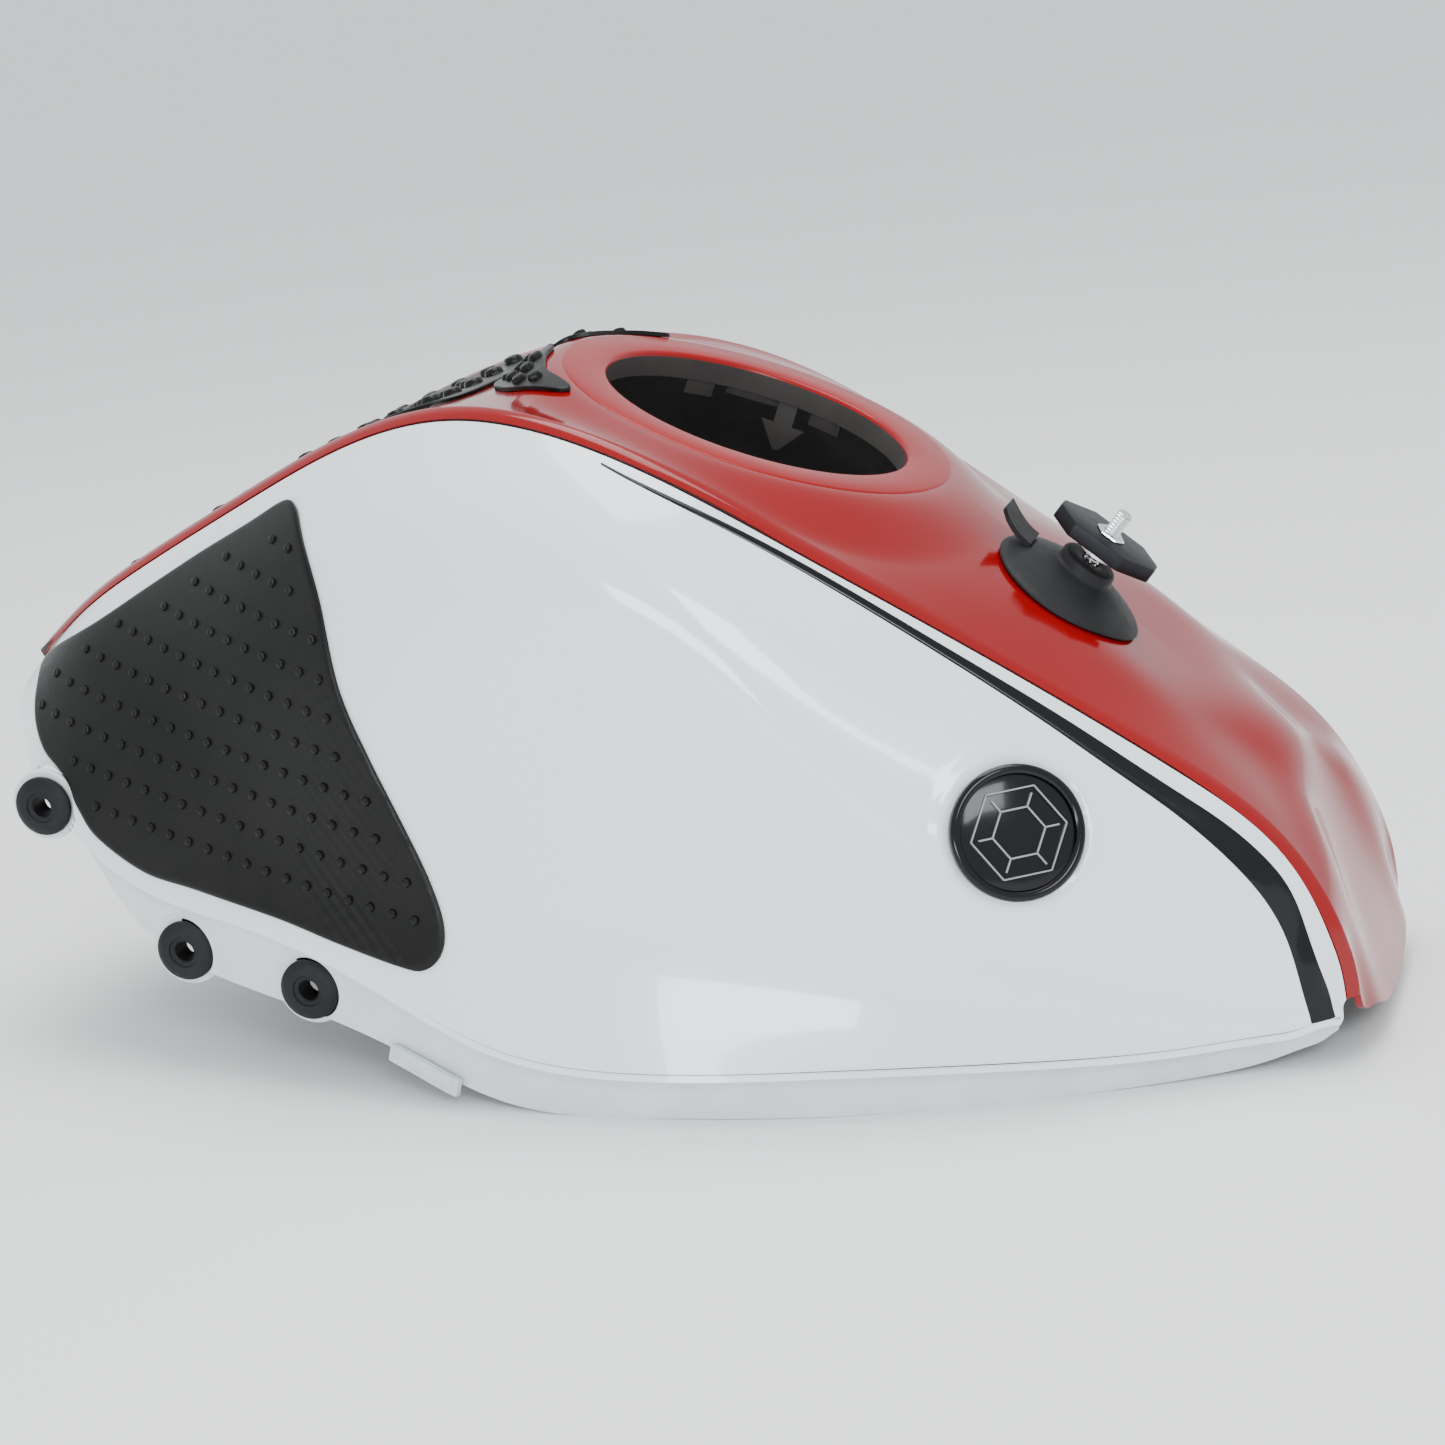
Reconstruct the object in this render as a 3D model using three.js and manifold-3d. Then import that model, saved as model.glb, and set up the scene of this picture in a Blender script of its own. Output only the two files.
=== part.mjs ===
// Motorcycle tank cover set: a red centre cover, two white side covers, rubber grip pads, badges,
// mounting grommets and a suction mount with a thumb nut. Millimetres, +X to the nose, +Y to the
// left side, +Z up; the lower edges of the side covers rest on Z = 0.
import * as THREE from 'three';
import Module from 'manifold-3d';

// ---- driving dimensions ---------------------------------------------------------------------
const WALL = 2.5;
const GAP = 0.3;

const FILLER = { x: 46, z: 234, radius: 59, pitch: 23.4, depth: 10 };
const COLLAR = { radius: 76, fade: 26 };
const SEAM_LIP = { width: 12, inset: 1.5, step: 4.8 };
const PAD = { thickness: 1.6, gap: 0.3 };
const STRIPE = { thickness: 0.4, gap: 0.1 };
const BADGE = { bezelRadius: 24, bezelHeight: 4, discRadius: 20.5, recess: 1.2 };
const GROMMET = { bore: 4, neck: 8, flange: 12, half: 6, groove: 1.8 };
const EDGE_STRIP = { length: 33, height: 8, thickness: 2.4, t: 4.33 };
const CUP = { x: 164, y: -20, radius: 30, bossRadius: 11, bossTop: 13 };
const STUD = { radius: 3, from: 9, to: 35 };
const WASHER = { radius: 8, bore: 3.4, thickness: 2, z: 16.5 };
const THUMB = { length: 42, width: 25, thickness: 6, bore: 3.4, z: 19 };

// Stations run from the tail tip to the foot of the nose. Each point is [x, half width, z].
const SEAM = [
  [-272, 4, 149], [-240, 19, 172], [-205, 30, 191], [-150, 47, 217], [-90, 67, 242],
  [-40, 85, 251], [20, 100, 238], [85, 98, 200], [150, 87, 155], [210, 78, 111],
  [240, 75, 84], [251, 73, 65], [257, 72, 48], [260, 71, 35], [261, 71, 25],
];
const RIDGE = [
  [-272, 12, 146], [-242, 31, 163], [-204, 42, 180], [-148, 62, 203], [-90, 84, 226],
  [-42, 104, 233], [18, 121, 218], [86, 128, 142], [148, 118, 76], [203, 100, 50],
  [232, 87, 37], [244, 81, 34], [252, 78, 30], [256, 75, 27], [260, 72, 23],
];
const MIDDLE = [
  [-268, 36, 134], [-243, 52, 130], [-204, 68, 130], [-147, 88, 130], [-88, 109, 140],
  [-42, 119, 150], [14, 124, 145], [84, 126, 105], [148, 115, 60], [204, 98, 38],
  [233, 86, 29], [245, 81, 28], [252, 78, 26], [256, 76, 24], [260, 73, 21],
];
const FLARE = [
  [-260, 48, 121], [-242, 61, 107], [-204, 76, 94], [-148, 95, 84], [-88, 112, 74],
  [-38, 121, 66], [16, 125, 60], [84, 122, 58], [148, 110, 43], [205, 94, 27],
  [234, 84, 21], [245, 80, 22], [252, 78, 22], [256, 76, 21], [260, 74, 19],
];
const CREASE = [
  [-257, 53, 113], [-239, 65, 97], [-205, 79, 75], [-150, 99, 64], [-90, 117, 45],
  [-40, 131, 25], [20, 137, 18], [85, 133, 18], [150, 116, 15], [206, 96, 13],
  [235, 85, 14], [246, 81, 15], [253, 78, 17], [256, 76, 17], [259, 75, 17],
];
const FLANGE = [
  [-254, 49, 108], [-236, 61, 92], [-205, 76, 56], [-150, 92, 35], [-90, 108, 19],
  [-40, 122, 3], [20, 128, 0.2], [85, 124, 0.2], [150, 107, 0], [208, 86, 1],
  [235, 75, 4], [246, 71, 7], [252, 69, 9], [255, 68, 11], [257, 67, 12],
];
const TUCK_DEPTH = [2, 3, 4, 5, 7, 8, 8, 8, 8, 8, 7, 7, 6, 5, 4];

// Centre line of the red cover, [x, z], and the rows that shape its scooped nose.
const CREST = [
  [-272, 149.5], [-240, 172.5], [-205, 190], [-150, 216], [-90, 241],
  [-40, 253], [20, 237], [85, 206], [150, 177.5], [208, 126],
];
const NOSE_CENTRE = [[240, 0, 100], [247, 0, 81], [255, 0, 57], [265, 0, 33], [271.5, 0, 10]];
const NOSE_HOLLOW = [[236, 20, 101], [247, 26, 83], [255, 31, 60], [263, 36, 37], [271, 39, 11]];
const NOSE_RIDGE = [[233, 29, 100], [250, 37, 81], [260, 43, 57], [265, 47, 37], [269, 51, 17]];
const NOSE_CHEEK = [[238, 55, 93], [252, 59, 74], [260, 61, 53], [263, 61, 35], [266, 60, 16]];
const ARCH_FRACTIONS = [0, 0.35, 0.6, 0.82];
const ARCH_POWER = 2.2;
const ROLLED_EDGE = { inset: 5, rise: 4.5 };

// ---- splines and surfaces ---------------------------------------------------------------------
function chordKnots(points) {
  const knots = [0];
  for (let i = 1; i < points.length; i++) {
    knots.push(knots[i - 1] + Math.max(points[i].distanceTo(points[i - 1]), 0.01));
  }
  return knots;
}

// Natural cubic spline through the points; t counts control points, 0 to points.length - 1.
function naturalSpline(points) {
  const n = points.length;
  const knots = chordKnots(points);
  const second = ['x', 'y', 'z'].map((axis) => {
    const m = new Array(n).fill(0);
    const c = new Array(n).fill(0);
    for (let i = 1; i < n - 1; i++) {
      const h0 = knots[i] - knots[i - 1];
      const h1 = knots[i + 1] - knots[i];
      const slope0 = (points[i][axis] - points[i - 1][axis]) / h0;
      const slope1 = (points[i + 1][axis] - points[i][axis]) / h1;
      const pivot = 2 * (h0 + h1) - h0 * c[i - 1];
      c[i] = h1 / pivot;
      m[i] = (6 * (slope1 - slope0) - h0 * m[i - 1]) / pivot;
    }
    for (let i = n - 2; i > 0; i--) {
      m[i] -= c[i] * m[i + 1];
    }
    return m;
  });
  return (t) => {
    const i = Math.min(Math.max(Math.floor(t), 0), n - 2);
    const h = knots[i + 1] - knots[i];
    const b = t - i;
    const a = 1 - b;
    const value = ['x', 'y', 'z'].map((axis, k) => a * points[i][axis] + b * points[i + 1][axis]
      + ((a ** 3 - a) * second[k][i] + (b ** 3 - b) * second[k][i + 1]) * h * h / 6);
    return new THREE.Vector3(...value);
  };
}

const vectors = (table) => table.map(([x, w, z]) => new THREE.Vector3(x, w, z));

// A surface through rows of control points: u counts rows, t counts stations.
function surfaceThrough(rows) {
  const along = rows.map((row) => naturalSpline(row));
  return (u, t) => naturalSpline(along.map((row) => row(t)))(u);
}

const sideSurface = surfaceThrough([SEAM, RIDGE, MIDDLE, FLARE, CREASE].map(vectors));

function tuckPoints() {
  return CREASE.map(([x, w, z], i) => new THREE.Vector3(x, w - TUCK_DEPTH[i], z - (i < 4 ? 2 : -1)));
}

const seamLine = naturalSpline(vectors(SEAM));
const creaseLine = naturalSpline(vectors(CREASE));
const tuckLine = naturalSpline(tuckPoints());
const flangeLine = naturalSpline(vectors(FLANGE));

const rimInset = (w) => Math.min(ROLLED_EDGE.inset, w * 0.4);

function archRow(fraction, nose) {
  const arch = CREST.map(([x, z], i) => {
    const [sx, w, sz] = SEAM[i];
    const rim = sz + ROLLED_EDGE.rise;
    const drop = fraction ** ARCH_POWER;
    return [x + (sx - x) * fraction, (w - rimInset(w)) * fraction, z + (rim - z) * drop];
  });
  return vectors([...arch, ...nose]);
}

const rimRow = SEAM.map(([x, w, z], i) => {
  const nose = THREE.MathUtils.smoothstep(i, 9, 12);
  return new THREE.Vector3(x + ROLLED_EDGE.rise * nose, w - rimInset(w), z + ROLLED_EDGE.rise * (1 - nose));
});

const archSurface = surfaceThrough([
  ...[NOSE_CENTRE, NOSE_HOLLOW, NOSE_RIDGE, NOSE_CHEEK].map((nose, i) => archRow(ARCH_FRACTIONS[i], nose)),
  rimRow,
]);

const pitch = THREE.MathUtils.degToRad(FILLER.pitch);
const collarPlaneZ = (x) => FILLER.z - (x - FILLER.x) * Math.tan(pitch);

function collarDistance(p) {
  return Math.hypot((p.x - FILLER.x) / Math.cos(pitch), p.y);
}

// The skin of the centre cover: the arch, raised to the collar plane around the filler hole.
function centreSurface(u, t) {
  const p = archSurface(u, t);
  const away = THREE.MathUtils.smoothstep(collarDistance(p), COLLAR.radius, COLLAR.radius + COLLAR.fade);
  p.z += (collarPlaneZ(p.x) - 0.6 - p.z) * (1 - away);
  return p;
}

// Finds where a vertical line through (x, y) meets the skin of the centre cover.
function dropOnCentre(x, y, u, t) {
  const step = 1e-3;
  for (let i = 0; i < 12; i++) {
    const p = centreSurface(u, t);
    const du = centreSurface(u + step, t).sub(p).divideScalar(step);
    const dt = centreSurface(u, t + step).sub(p).divideScalar(step);
    const det = du.x * dt.y - du.y * dt.x;
    const ex = x - p.x;
    const ey = Math.abs(y) - p.y;
    u += (ex * dt.y - ey * dt.x) / det;
    t += (ey * du.x - ex * du.y) / det;
  }
  const p = centreSurface(u, t);
  const normal = normalAt(centreSurface, u, t);
  if (y < 0) {
    p.y = -p.y;
    normal.y = -normal.y;
  }
  return { p, normal };
}

function normalAt(surface, u, t) {
  const step = 1e-3;
  const du = surface(u + step, t).sub(surface(u - step, t));
  const dt = surface(u, t + step).sub(surface(u, t - step));
  return dt.cross(du).normalize();
}

// ---- meshes from grids ------------------------------------------------------------------------
function gridGeometry(rows, wrap = false) {
  const columns = rows[0].length;
  const position = rows.flat().flatMap((p) => [p.x, p.y, p.z]);
  const index = [];
  for (let i = 0; i + 1 < rows.length + (wrap ? 1 : 0); i++) {
    for (let j = 0; j + 1 < columns; j++) {
      const a = i * columns + j;
      const b = ((i + 1) % rows.length) * columns + j;
      index.push(a, b, b + 1, a, b + 1, a + 1);
    }
  }
  const geometry = new THREE.BufferGeometry();
  geometry.setAttribute('position', new THREE.Float32BufferAttribute(position, 3));
  geometry.setIndex(index);
  return geometry;
}

// Mitred offsets of a grid: every face next to a vertex moves by the same distance.
function offsetGrid(rows, distance) {
  const faceNormal = (i, j) => {
    if (i < 0 || j < 0 || i + 1 >= rows.length || j + 1 >= rows[0].length) {
      return null;
    }
    const d1 = rows[i + 1][j + 1].clone().sub(rows[i][j]);
    const d2 = rows[i][j + 1].clone().sub(rows[i + 1][j]);
    return d2.cross(d1).normalize();
  };
  return rows.map((row, i) => row.map((p, j) => {
    const faces = [faceNormal(i - 1, j - 1), faceNormal(i - 1, j), faceNormal(i, j - 1), faceNormal(i, j)]
      .filter((n) => n);
    const mean = faces.reduce((sum, n) => sum.add(n), new THREE.Vector3()).normalize();
    const tightest = Math.min(...faces.map((n) => n.dot(mean)));
    return p.clone().addScaledVector(mean, distance / Math.max(tightest, 0.75));
  }));
}

// A closed shell between two grids of the same layout; `top` faces out.
function shellGeometry(top, bottom) {
  const m = top.length;
  const n = top[0].length;
  const at = (i, j) => i * n + j;
  const under = (i, j) => m * n + i * n + j;
  const position = [...top.flat(), ...bottom.flat()].flatMap((p) => [p.x, p.y, p.z]);
  const index = [];
  const quad = (a, b, c, d) => index.push(a, c, b, a, d, c);
  for (let i = 0; i + 1 < m; i++) {
    for (let j = 0; j + 1 < n; j++) {
      quad(at(i, j), at(i + 1, j), at(i + 1, j + 1), at(i, j + 1));
      quad(under(i, j), under(i, j + 1), under(i + 1, j + 1), under(i + 1, j));
    }
    quad(at(i, 0), under(i, 0), under(i + 1, 0), at(i + 1, 0));
    quad(at(i + 1, n - 1), under(i + 1, n - 1), under(i, n - 1), at(i, n - 1));
  }
  for (let j = 0; j + 1 < n; j++) {
    quad(at(0, j + 1), under(0, j + 1), under(0, j), at(0, j));
    quad(at(m - 1, j), under(m - 1, j), under(m - 1, j + 1), at(m - 1, j + 1));
  }
  const geometry = new THREE.BufferGeometry();
  geometry.setAttribute('position', new THREE.Float32BufferAttribute(position, 3));
  geometry.setIndex(index);
  return geometry;
}

function mirrored(geometry) {
  const copy = geometry.clone();
  copy.scale(1, -1, 1);
  const index = copy.getIndex().array;
  for (let i = 0; i < index.length; i += 3) {
    [index[i + 1], index[i + 2]] = [index[i + 2], index[i + 1]];
  }
  return copy;
}

// ---- joining and cutting ----------------------------------------------------------------------
const wasm = await Module();
wasm.setup();

function welded(geometry) {
  const position = geometry.getAttribute('position');
  const source = geometry.getIndex()?.array ?? [...Array(position.count).keys()];
  const seen = new Map();
  const vertices = [];
  const lookup = [];
  for (let i = 0; i < position.count; i++) {
    const p = [position.getX(i), position.getY(i), position.getZ(i)].map((v) => Math.round(v * 1e4) / 1e4);
    const key = p.join();
    if (!seen.has(key)) {
      seen.set(key, vertices.length / 3);
      vertices.push(...p);
    }
    lookup.push(seen.get(key));
  }
  const triangles = [];
  for (let i = 0; i < source.length; i += 3) {
    const [a, b, c] = [lookup[source[i]], lookup[source[i + 1]], lookup[source[i + 2]]];
    if (a !== b && b !== c && a !== c) {
      triangles.push(a, b, c);
    }
  }
  return { vertices, triangles };
}

function solid(geometry) {
  const { vertices, triangles } = welded(geometry);
  return new wasm.Manifold(new wasm.Mesh({
    numProp: 3,
    vertProperties: Float32Array.from(vertices),
    triVerts: Uint32Array.from(triangles),
  }));
}

function geometryOf(manifold) {
  const mesh = manifold.getMesh();
  const geometry = new THREE.BufferGeometry();
  const position = [];
  for (let i = 0; i < mesh.numVert; i++) {
    position.push(...mesh.vertProperties.slice(i * mesh.numProp, i * mesh.numProp + 3));
  }
  geometry.setAttribute('position', new THREE.Float32BufferAttribute(position, 3));
  geometry.setIndex([...mesh.triVerts]);
  return geometry;
}

// Lathe solid about the local Z axis from a closed [radius, z] profile.
function turned(profile, segments) {
  const points = [...profile, profile[0]].map(([r, z]) => new THREE.Vector2(r, z));
  return new THREE.LatheGeometry(points, segments).rotateX(Math.PI / 2);
}

function cylinder(radius, from, to, segments = 32) {
  return turned([[0, from], [radius, from], [radius, to], [0, to]], segments);
}

// Puts a geometry made along local Z at a point with its Z axis along a direction.
function placement(origin, axis) {
  const turn = new THREE.Quaternion().setFromUnitVectors(new THREE.Vector3(0, 0, 1), axis.clone().normalize());
  return new THREE.Matrix4().compose(origin, turn, new THREE.Vector3(1, 1, 1));
}

const onto = (geometry, frame) => geometry.clone().applyMatrix4(frame);

// ---- materials and nodes ----------------------------------------------------------------------
const group = new THREE.Group();
group.name = 'tank_cover_set';

const FINISHES = {
  red: { color: 0xb9000f, roughness: 0.12, metalness: 0 },
  white: { color: 0xe6eef2, roughness: 0.14, metalness: 0 },
  rubber: { color: 0x141413, roughness: 0.45, metalness: 0 },
  softRubber: { color: 0x1a1a1b, roughness: 0.7, metalness: 0 },
  gloss: { color: 0x08090a, roughness: 0.15, metalness: 0 },
  foam: { color: 0xcdd6da, roughness: 0.8, metalness: 0 },
  chrome: { color: 0xc8ccd0, roughness: 0.2, metalness: 1 },
  blackMetal: { color: 0x222427, roughness: 0.4, metalness: 0.8 },
};

function addNode(name, geometry, finish) {
  const mesh = new THREE.Mesh(geometry, new THREE.MeshStandardMaterial(FINISHES[finish]));
  mesh.name = name;
  group.add(mesh);
  return mesh;
}

function addPair(name, geometry, finish) {
  addNode(`${name}_left`, geometry, finish);
  addNode(`${name}_right`, mirrored(geometry), finish);
}

const range = (from, to, count) => Array.from({ length: count + 1 }, (_, i) => from + (to - from) * i / count);

// ---- side covers ------------------------------------------------------------------------------
const SIDE_ROWS = [0, 0.5, 1, 1.5, 2, 2.5, 3, 3.5, 4];
const SIDE_STATIONS = range(0, 14, 35);
const GROMMETS = {
  front: { line: tuckLine, t: 3.43, down: 17 },
  middle: { line: tuckLine, t: 2.43, down: 17 },
  rear: { line: creaseLine, t: 0.75, down: -4 },
};

function sideGrid(rows, stations) {
  const seamLip = (t, inset) => {
    const p = seamLine(t);
    const nose = THREE.MathUtils.smoothstep(t, 9, 12);
    p.y = Math.max(p.y - inset * Math.min(1, p.y / 40), 0.6);
    p.x -= SEAM_LIP.step * nose;
    p.z -= SEAM_LIP.step * (1 - nose);
    return p;
  };
  return [
    stations.map((t) => seamLip(t, SEAM_LIP.width)),
    stations.map((t) => seamLip(t, SEAM_LIP.inset)),
    ...rows.map((u) => stations.map((t) => sideSurface(u, t))),
    stations.map((t) => tuckLine(t)),
    stations.map((t) => tuckLine(t).lerp(flangeLine(t), 0.5)),
    stations.map((t) => flangeLine(t)),
  ];
}

function grommetFrame({ line, t, down }) {
  const skirt = flangeLine(t).sub(tuckLine(t)).normalize();
  const normal = new THREE.Vector3(0, 1, 0);
  const origin = line(t).addScaledVector(skirt, down);
  return placement(origin.addScaledVector(normal, -GROMMET.groove), normal);
}

function sideCover() {
  const outer = sideGrid(SIDE_ROWS, SIDE_STATIONS);
  let cover = solid(shellGeometry(outer, offsetGrid(outer, -WALL)));
  for (const place of Object.values(GROMMETS)) {
    const frame = grommetFrame(place);
    const lug = cylinder(GROMMET.flange + 2.5, -GROMMET.groove + GAP, GROMMET.groove - GAP, 20);
    const pocket = cylinder(GROMMET.flange + 0.6, GROMMET.groove - GAP, 14, 20);
    const pocketBehind = cylinder(GROMMET.flange + 0.6, -14, -GROMMET.groove + GAP, 20);
    const hole = cylinder(GROMMET.neck + GAP, -14, 14, 20);
    cover = cover.subtract(solid(onto(pocket, frame))).subtract(solid(onto(pocketBehind, frame)));
    cover = cover.add(solid(onto(lug, frame))).subtract(solid(onto(hole, frame)));
  }
  return cover;
}

addPair('side_cover', geometryOf(sideCover()), 'white');

// ---- centre cover -----------------------------------------------------------------------------
const CENTRE_ROWS = [0, 0.5, 1, 1.5, 2, 2.5, 3, 3.5, 4];
const CENTRE_STATIONS = range(0, 14, 35);
const ROLL = [{ share: 0.65, drop: 1.4 }, { share: 0.92, drop: 3.4 }];
const RIM_TABS = [
  { angle: 127, width: 12, drop: 16 },
  { angle: 106, width: 22, drop: 13 },
  { angle: 76, width: 14, drop: 15 },
];
const HOOK = { angle: 92, shank: 4, barb: 9, from: 9, neck: 20, tip: 30, thickness: 3 };

// Half of a cross-section row set: u below zero is the right half.
function centreRow(u, t) {
  const p = centreSurface(Math.min(Math.abs(u), 4), t);
  p.y *= u < 0 ? -1 : 1;
  return p;
}

function rollRow(side, { share, drop }, t) {
  const rim = centreSurface(4, t);
  const seam = seamLine(t);
  const nose = THREE.MathUtils.smoothstep(t, 9, 12);
  const p = rim.clone().lerp(seam, share);
  p.y = Math.max(Math.min(p.y, seam.y - GAP - 0.2), 0.4);
  p.z = rim.z - (drop + 0.3) * (1 - nose) - nose * (rim.z - seam.z) * share;
  p.y *= side;
  return p;
}

const collarAxis = new THREE.Vector3(Math.sin(pitch), 0, Math.cos(pitch));
const collarFrame = placement(new THREE.Vector3(FILLER.x, 0, FILLER.z), collarAxis);

function rimTab({ angle, width, drop }) {
  const length = drop - FILLER.depth + 4;
  const tab = new THREE.BoxGeometry(WALL, width, length);
  tab.translate(FILLER.radius + 1.6, 0, -drop + length / 2);
  return tab.rotateZ(THREE.MathUtils.degToRad(angle));
}

function snapHook() {
  const { shank, barb, from, neck, tip, thickness, angle } = HOOK;
  const outline = new THREE.Shape([
    [-shank, -from], [-shank, -neck], [-barb, -neck], [0, -tip], [barb, -neck], [shank, -neck], [shank, -from],
  ].map(([x, y]) => new THREE.Vector2(x, y)));
  const plate = new THREE.ExtrudeGeometry(outline, { depth: thickness, bevelEnabled: false });
  plate.rotateX(Math.PI / 2).rotateZ(Math.PI / 2).translate(FILLER.radius + 0.4, 0, 0);
  return plate.rotateZ(THREE.MathUtils.degToRad(angle));
}

function centreCover() {
  const rows = [
    ...[...ROLL].reverse().map((roll) => CENTRE_STATIONS.map((t) => rollRow(-1, roll, t))),
    ...[...CENTRE_ROWS].reverse().map((u) => CENTRE_STATIONS.map((t) => centreRow(-u, t))),
    ...CENTRE_ROWS.slice(1).map((u) => CENTRE_STATIONS.map((t) => centreRow(u, t))),
    ...ROLL.map((roll) => CENTRE_STATIONS.map((t) => rollRow(1, roll, t))),
  ];
  const { radius, depth } = FILLER;
  const ring = turned([
    [radius, -depth], [radius + WALL, -depth], [radius + WALL, -3.4], [COLLAR.radius - 1, -3],
    [COLLAR.radius + 0.8, -1.2], [COLLAR.radius - 0.4, 0], [radius + 1.2, 0], [radius, -1.2],
  ], 56);
  let cover = solid(shellGeometry(rows, offsetGrid(rows, -WALL)));
  cover = cover.subtract(solid(onto(cylinder(radius + 1, -40, 40, 56), collarFrame)));
  cover = cover.add(solid(onto(ring, collarFrame)));
  for (const tab of [...RIM_TABS.map(rimTab), snapHook()]) {
    cover = cover.add(solid(onto(tab, collarFrame)));
  }
  return cover;
}

addNode('centre_cover', geometryOf(centreCover()), 'red');

// ---- skins laid on the covers -------------------------------------------------------------------
// Outlines of the skins on the side covers, [x, z] in side view.
const KNEE_PAD = [
  [-258, 155], [-224, 171], [-197, 185], [-169, 199], [-141, 212], [-122, 221], [-115, 221], [-110, 214],
  [-98, 190], [-91, 158], [-81, 133], [-71, 110], [-62, 88], [-57, 70], [-59, 59], [-66, 53],
  [-76, 54], [-104, 61], [-132, 69], [-170, 76], [-197, 80], [-220, 92], [-229, 102], [-240, 112],
  [-251, 121], [-257, 133], [-259, 146],
];
const STRIPE_TOP = [
  [19, 236.4], [54, 217.7], [93, 192.7], [132, 164.4], [171, 135.4], [210, 104.8], [223, 94.5], [235, 82.5],
  [244, 69], [250, 50.5], [255.5, 30], [257.5, 20],
];
const STRIPE_BOTTOM = [
  [249.5, 19], [244.5, 43], [235, 68], [222, 85], [210, 97.5], [190, 114], [171, 130], [132, 161],
  [93, 190], [54, 216], [19, 235.8],
];

// A skin of even thickness over a faceted surface, cut to the outline of a prism.
function skinSolid(facets, { gap, thickness }, prism) {
  const sheet = shellGeometry(offsetGrid(facets, gap + thickness), offsetGrid(facets, gap));
  return solid(sheet).intersect(solid(prism));
}

function prismAlongY(outline) {
  const shape = new THREE.Shape(outline.map(([x, z]) => new THREE.Vector2(x, z)));
  return new THREE.ExtrudeGeometry(shape, { depth: 150, bevelEnabled: false }).rotateX(Math.PI / 2).translate(0, 151, 0);
}

function prismAlongZ(outline) {
  const shape = new THREE.Shape(outline.map(([x, y]) => new THREE.Vector2(x, y)));
  return new THREE.ExtrudeGeometry(shape, { depth: 300, bevelEnabled: false });
}

const sideFacets = SIDE_ROWS.map((u) => SIDE_STATIONS.map((t) => sideSurface(u, t)));
const centreFacets = [
  ...[...CENTRE_ROWS].reverse().map((u) => CENTRE_STATIONS.map((t) => centreRow(-u, t))),
  ...CENTRE_ROWS.slice(1).map((u) => CENTRE_STATIONS.map((t) => centreRow(u, t))),
];

const rearGrommetSpace = solid(onto(cylinder(GROMMET.flange + 3.2, -30, 30, 20), grommetFrame(GROMMETS.rear)));
const kneePad = skinSolid(sideFacets, PAD, prismAlongY(KNEE_PAD)).subtract(rearGrommetSpace);
addPair('knee_pad', geometryOf(kneePad), 'rubber');
const stripe = skinSolid(sideFacets, STRIPE, prismAlongY([...STRIPE_TOP, ...STRIPE_BOTTOM]));
addPair('stripe', geometryOf(stripe), 'gloss');

// Outlines of the skins on the centre cover, [x, y] in plan, for the left half.
const CENTRE_PAD = [[-268, 2.5], [-240, 12], [-205, 21], [-150, 35], [-90, 48], [-62, 52], [-56, 36], [-55, 0]];
const WING = [[-29, 8], [-26, 26], [-19, 44], [-5, 58], [-14, 60], [-32, 48], [-46, 32], [-51, 8]];

const otherSide = (outline) => [...outline].reverse().map(([x, y]) => [x, -y]);
const topSkin = (outline) => geometryOf(skinSolid(centreFacets, PAD, prismAlongZ(outline)));
addNode('centre_pad', topSkin([...CENTRE_PAD, ...otherSide(CENTRE_PAD.slice(0, -1))]), 'rubber');
addNode('pad_wing_left', topSkin(WING), 'rubber');
addNode('pad_wing_right', topSkin(otherSide(WING)), 'rubber');

// Loose foam strips along the lower edges, ahead of the front grommets.
const stripSpot = flangeLine(EDGE_STRIP.t);
const stripRun = flangeLine(EDGE_STRIP.t + 0.2).sub(flangeLine(EDGE_STRIP.t - 0.2)).normalize();
const stripOut = new THREE.Vector3(-stripRun.y, stripRun.x, 0).normalize();
const stripTurn = new THREE.Matrix4().makeBasis(stripRun, stripOut, stripRun.clone().cross(stripOut));
const strip = new THREE.BoxGeometry(EDGE_STRIP.length, EDGE_STRIP.thickness, EDGE_STRIP.height)
  .applyMatrix4(stripTurn).translate(...stripSpot.addScaledVector(stripOut, 2.6));
addPair('edge_strip', strip, 'foam');

// ---- badges -------------------------------------------------------------------------------------
const BADGE_PLACE = { u: 0.62, t: 8.17 };
const badgeNormal = normalAt(sideSurface, BADGE_PLACE.u, BADGE_PLACE.t);
const badgeFrame = placement(sideSurface(BADGE_PLACE.u, BADGE_PLACE.t), badgeNormal);
const { bezelRadius, bezelHeight, discRadius } = BADGE;
const bezel = turned([
  [discRadius + 0.3, 1.4], [bezelRadius, 1.4], [bezelRadius, bezelHeight - 0.8],
  [bezelRadius - 1.2, bezelHeight], [discRadius + 1, bezelHeight - 0.4],
], 48);
const disc = turned([[0, 1.4], [discRadius, 1.4], [discRadius, 2.6], [12, 3.6], [0, 4]], 32);
addPair('badge_bezel', onto(bezel, badgeFrame), 'gloss');
addPair('badge_disc', onto(disc, badgeFrame), 'gloss');

// ---- grommets and seam screws -------------------------------------------------------------------
function grommetGeometry() {
  const { bore, neck, flange, half, groove } = GROMMET;
  return turned([
    [bore, -half], [neck + 1.5, -half], [flange, -groove - 2.6], [flange, -groove], [neck, -groove],
    [neck, groove], [flange, groove], [flange, groove + 2.6], [neck + 1.5, half], [bore, half],
  ], 16);
}

for (const [place, spot] of Object.entries(GROMMETS)) {
  addPair(`grommet_${place}`, onto(grommetGeometry(), grommetFrame(spot)), 'softRubber');
}

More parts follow.
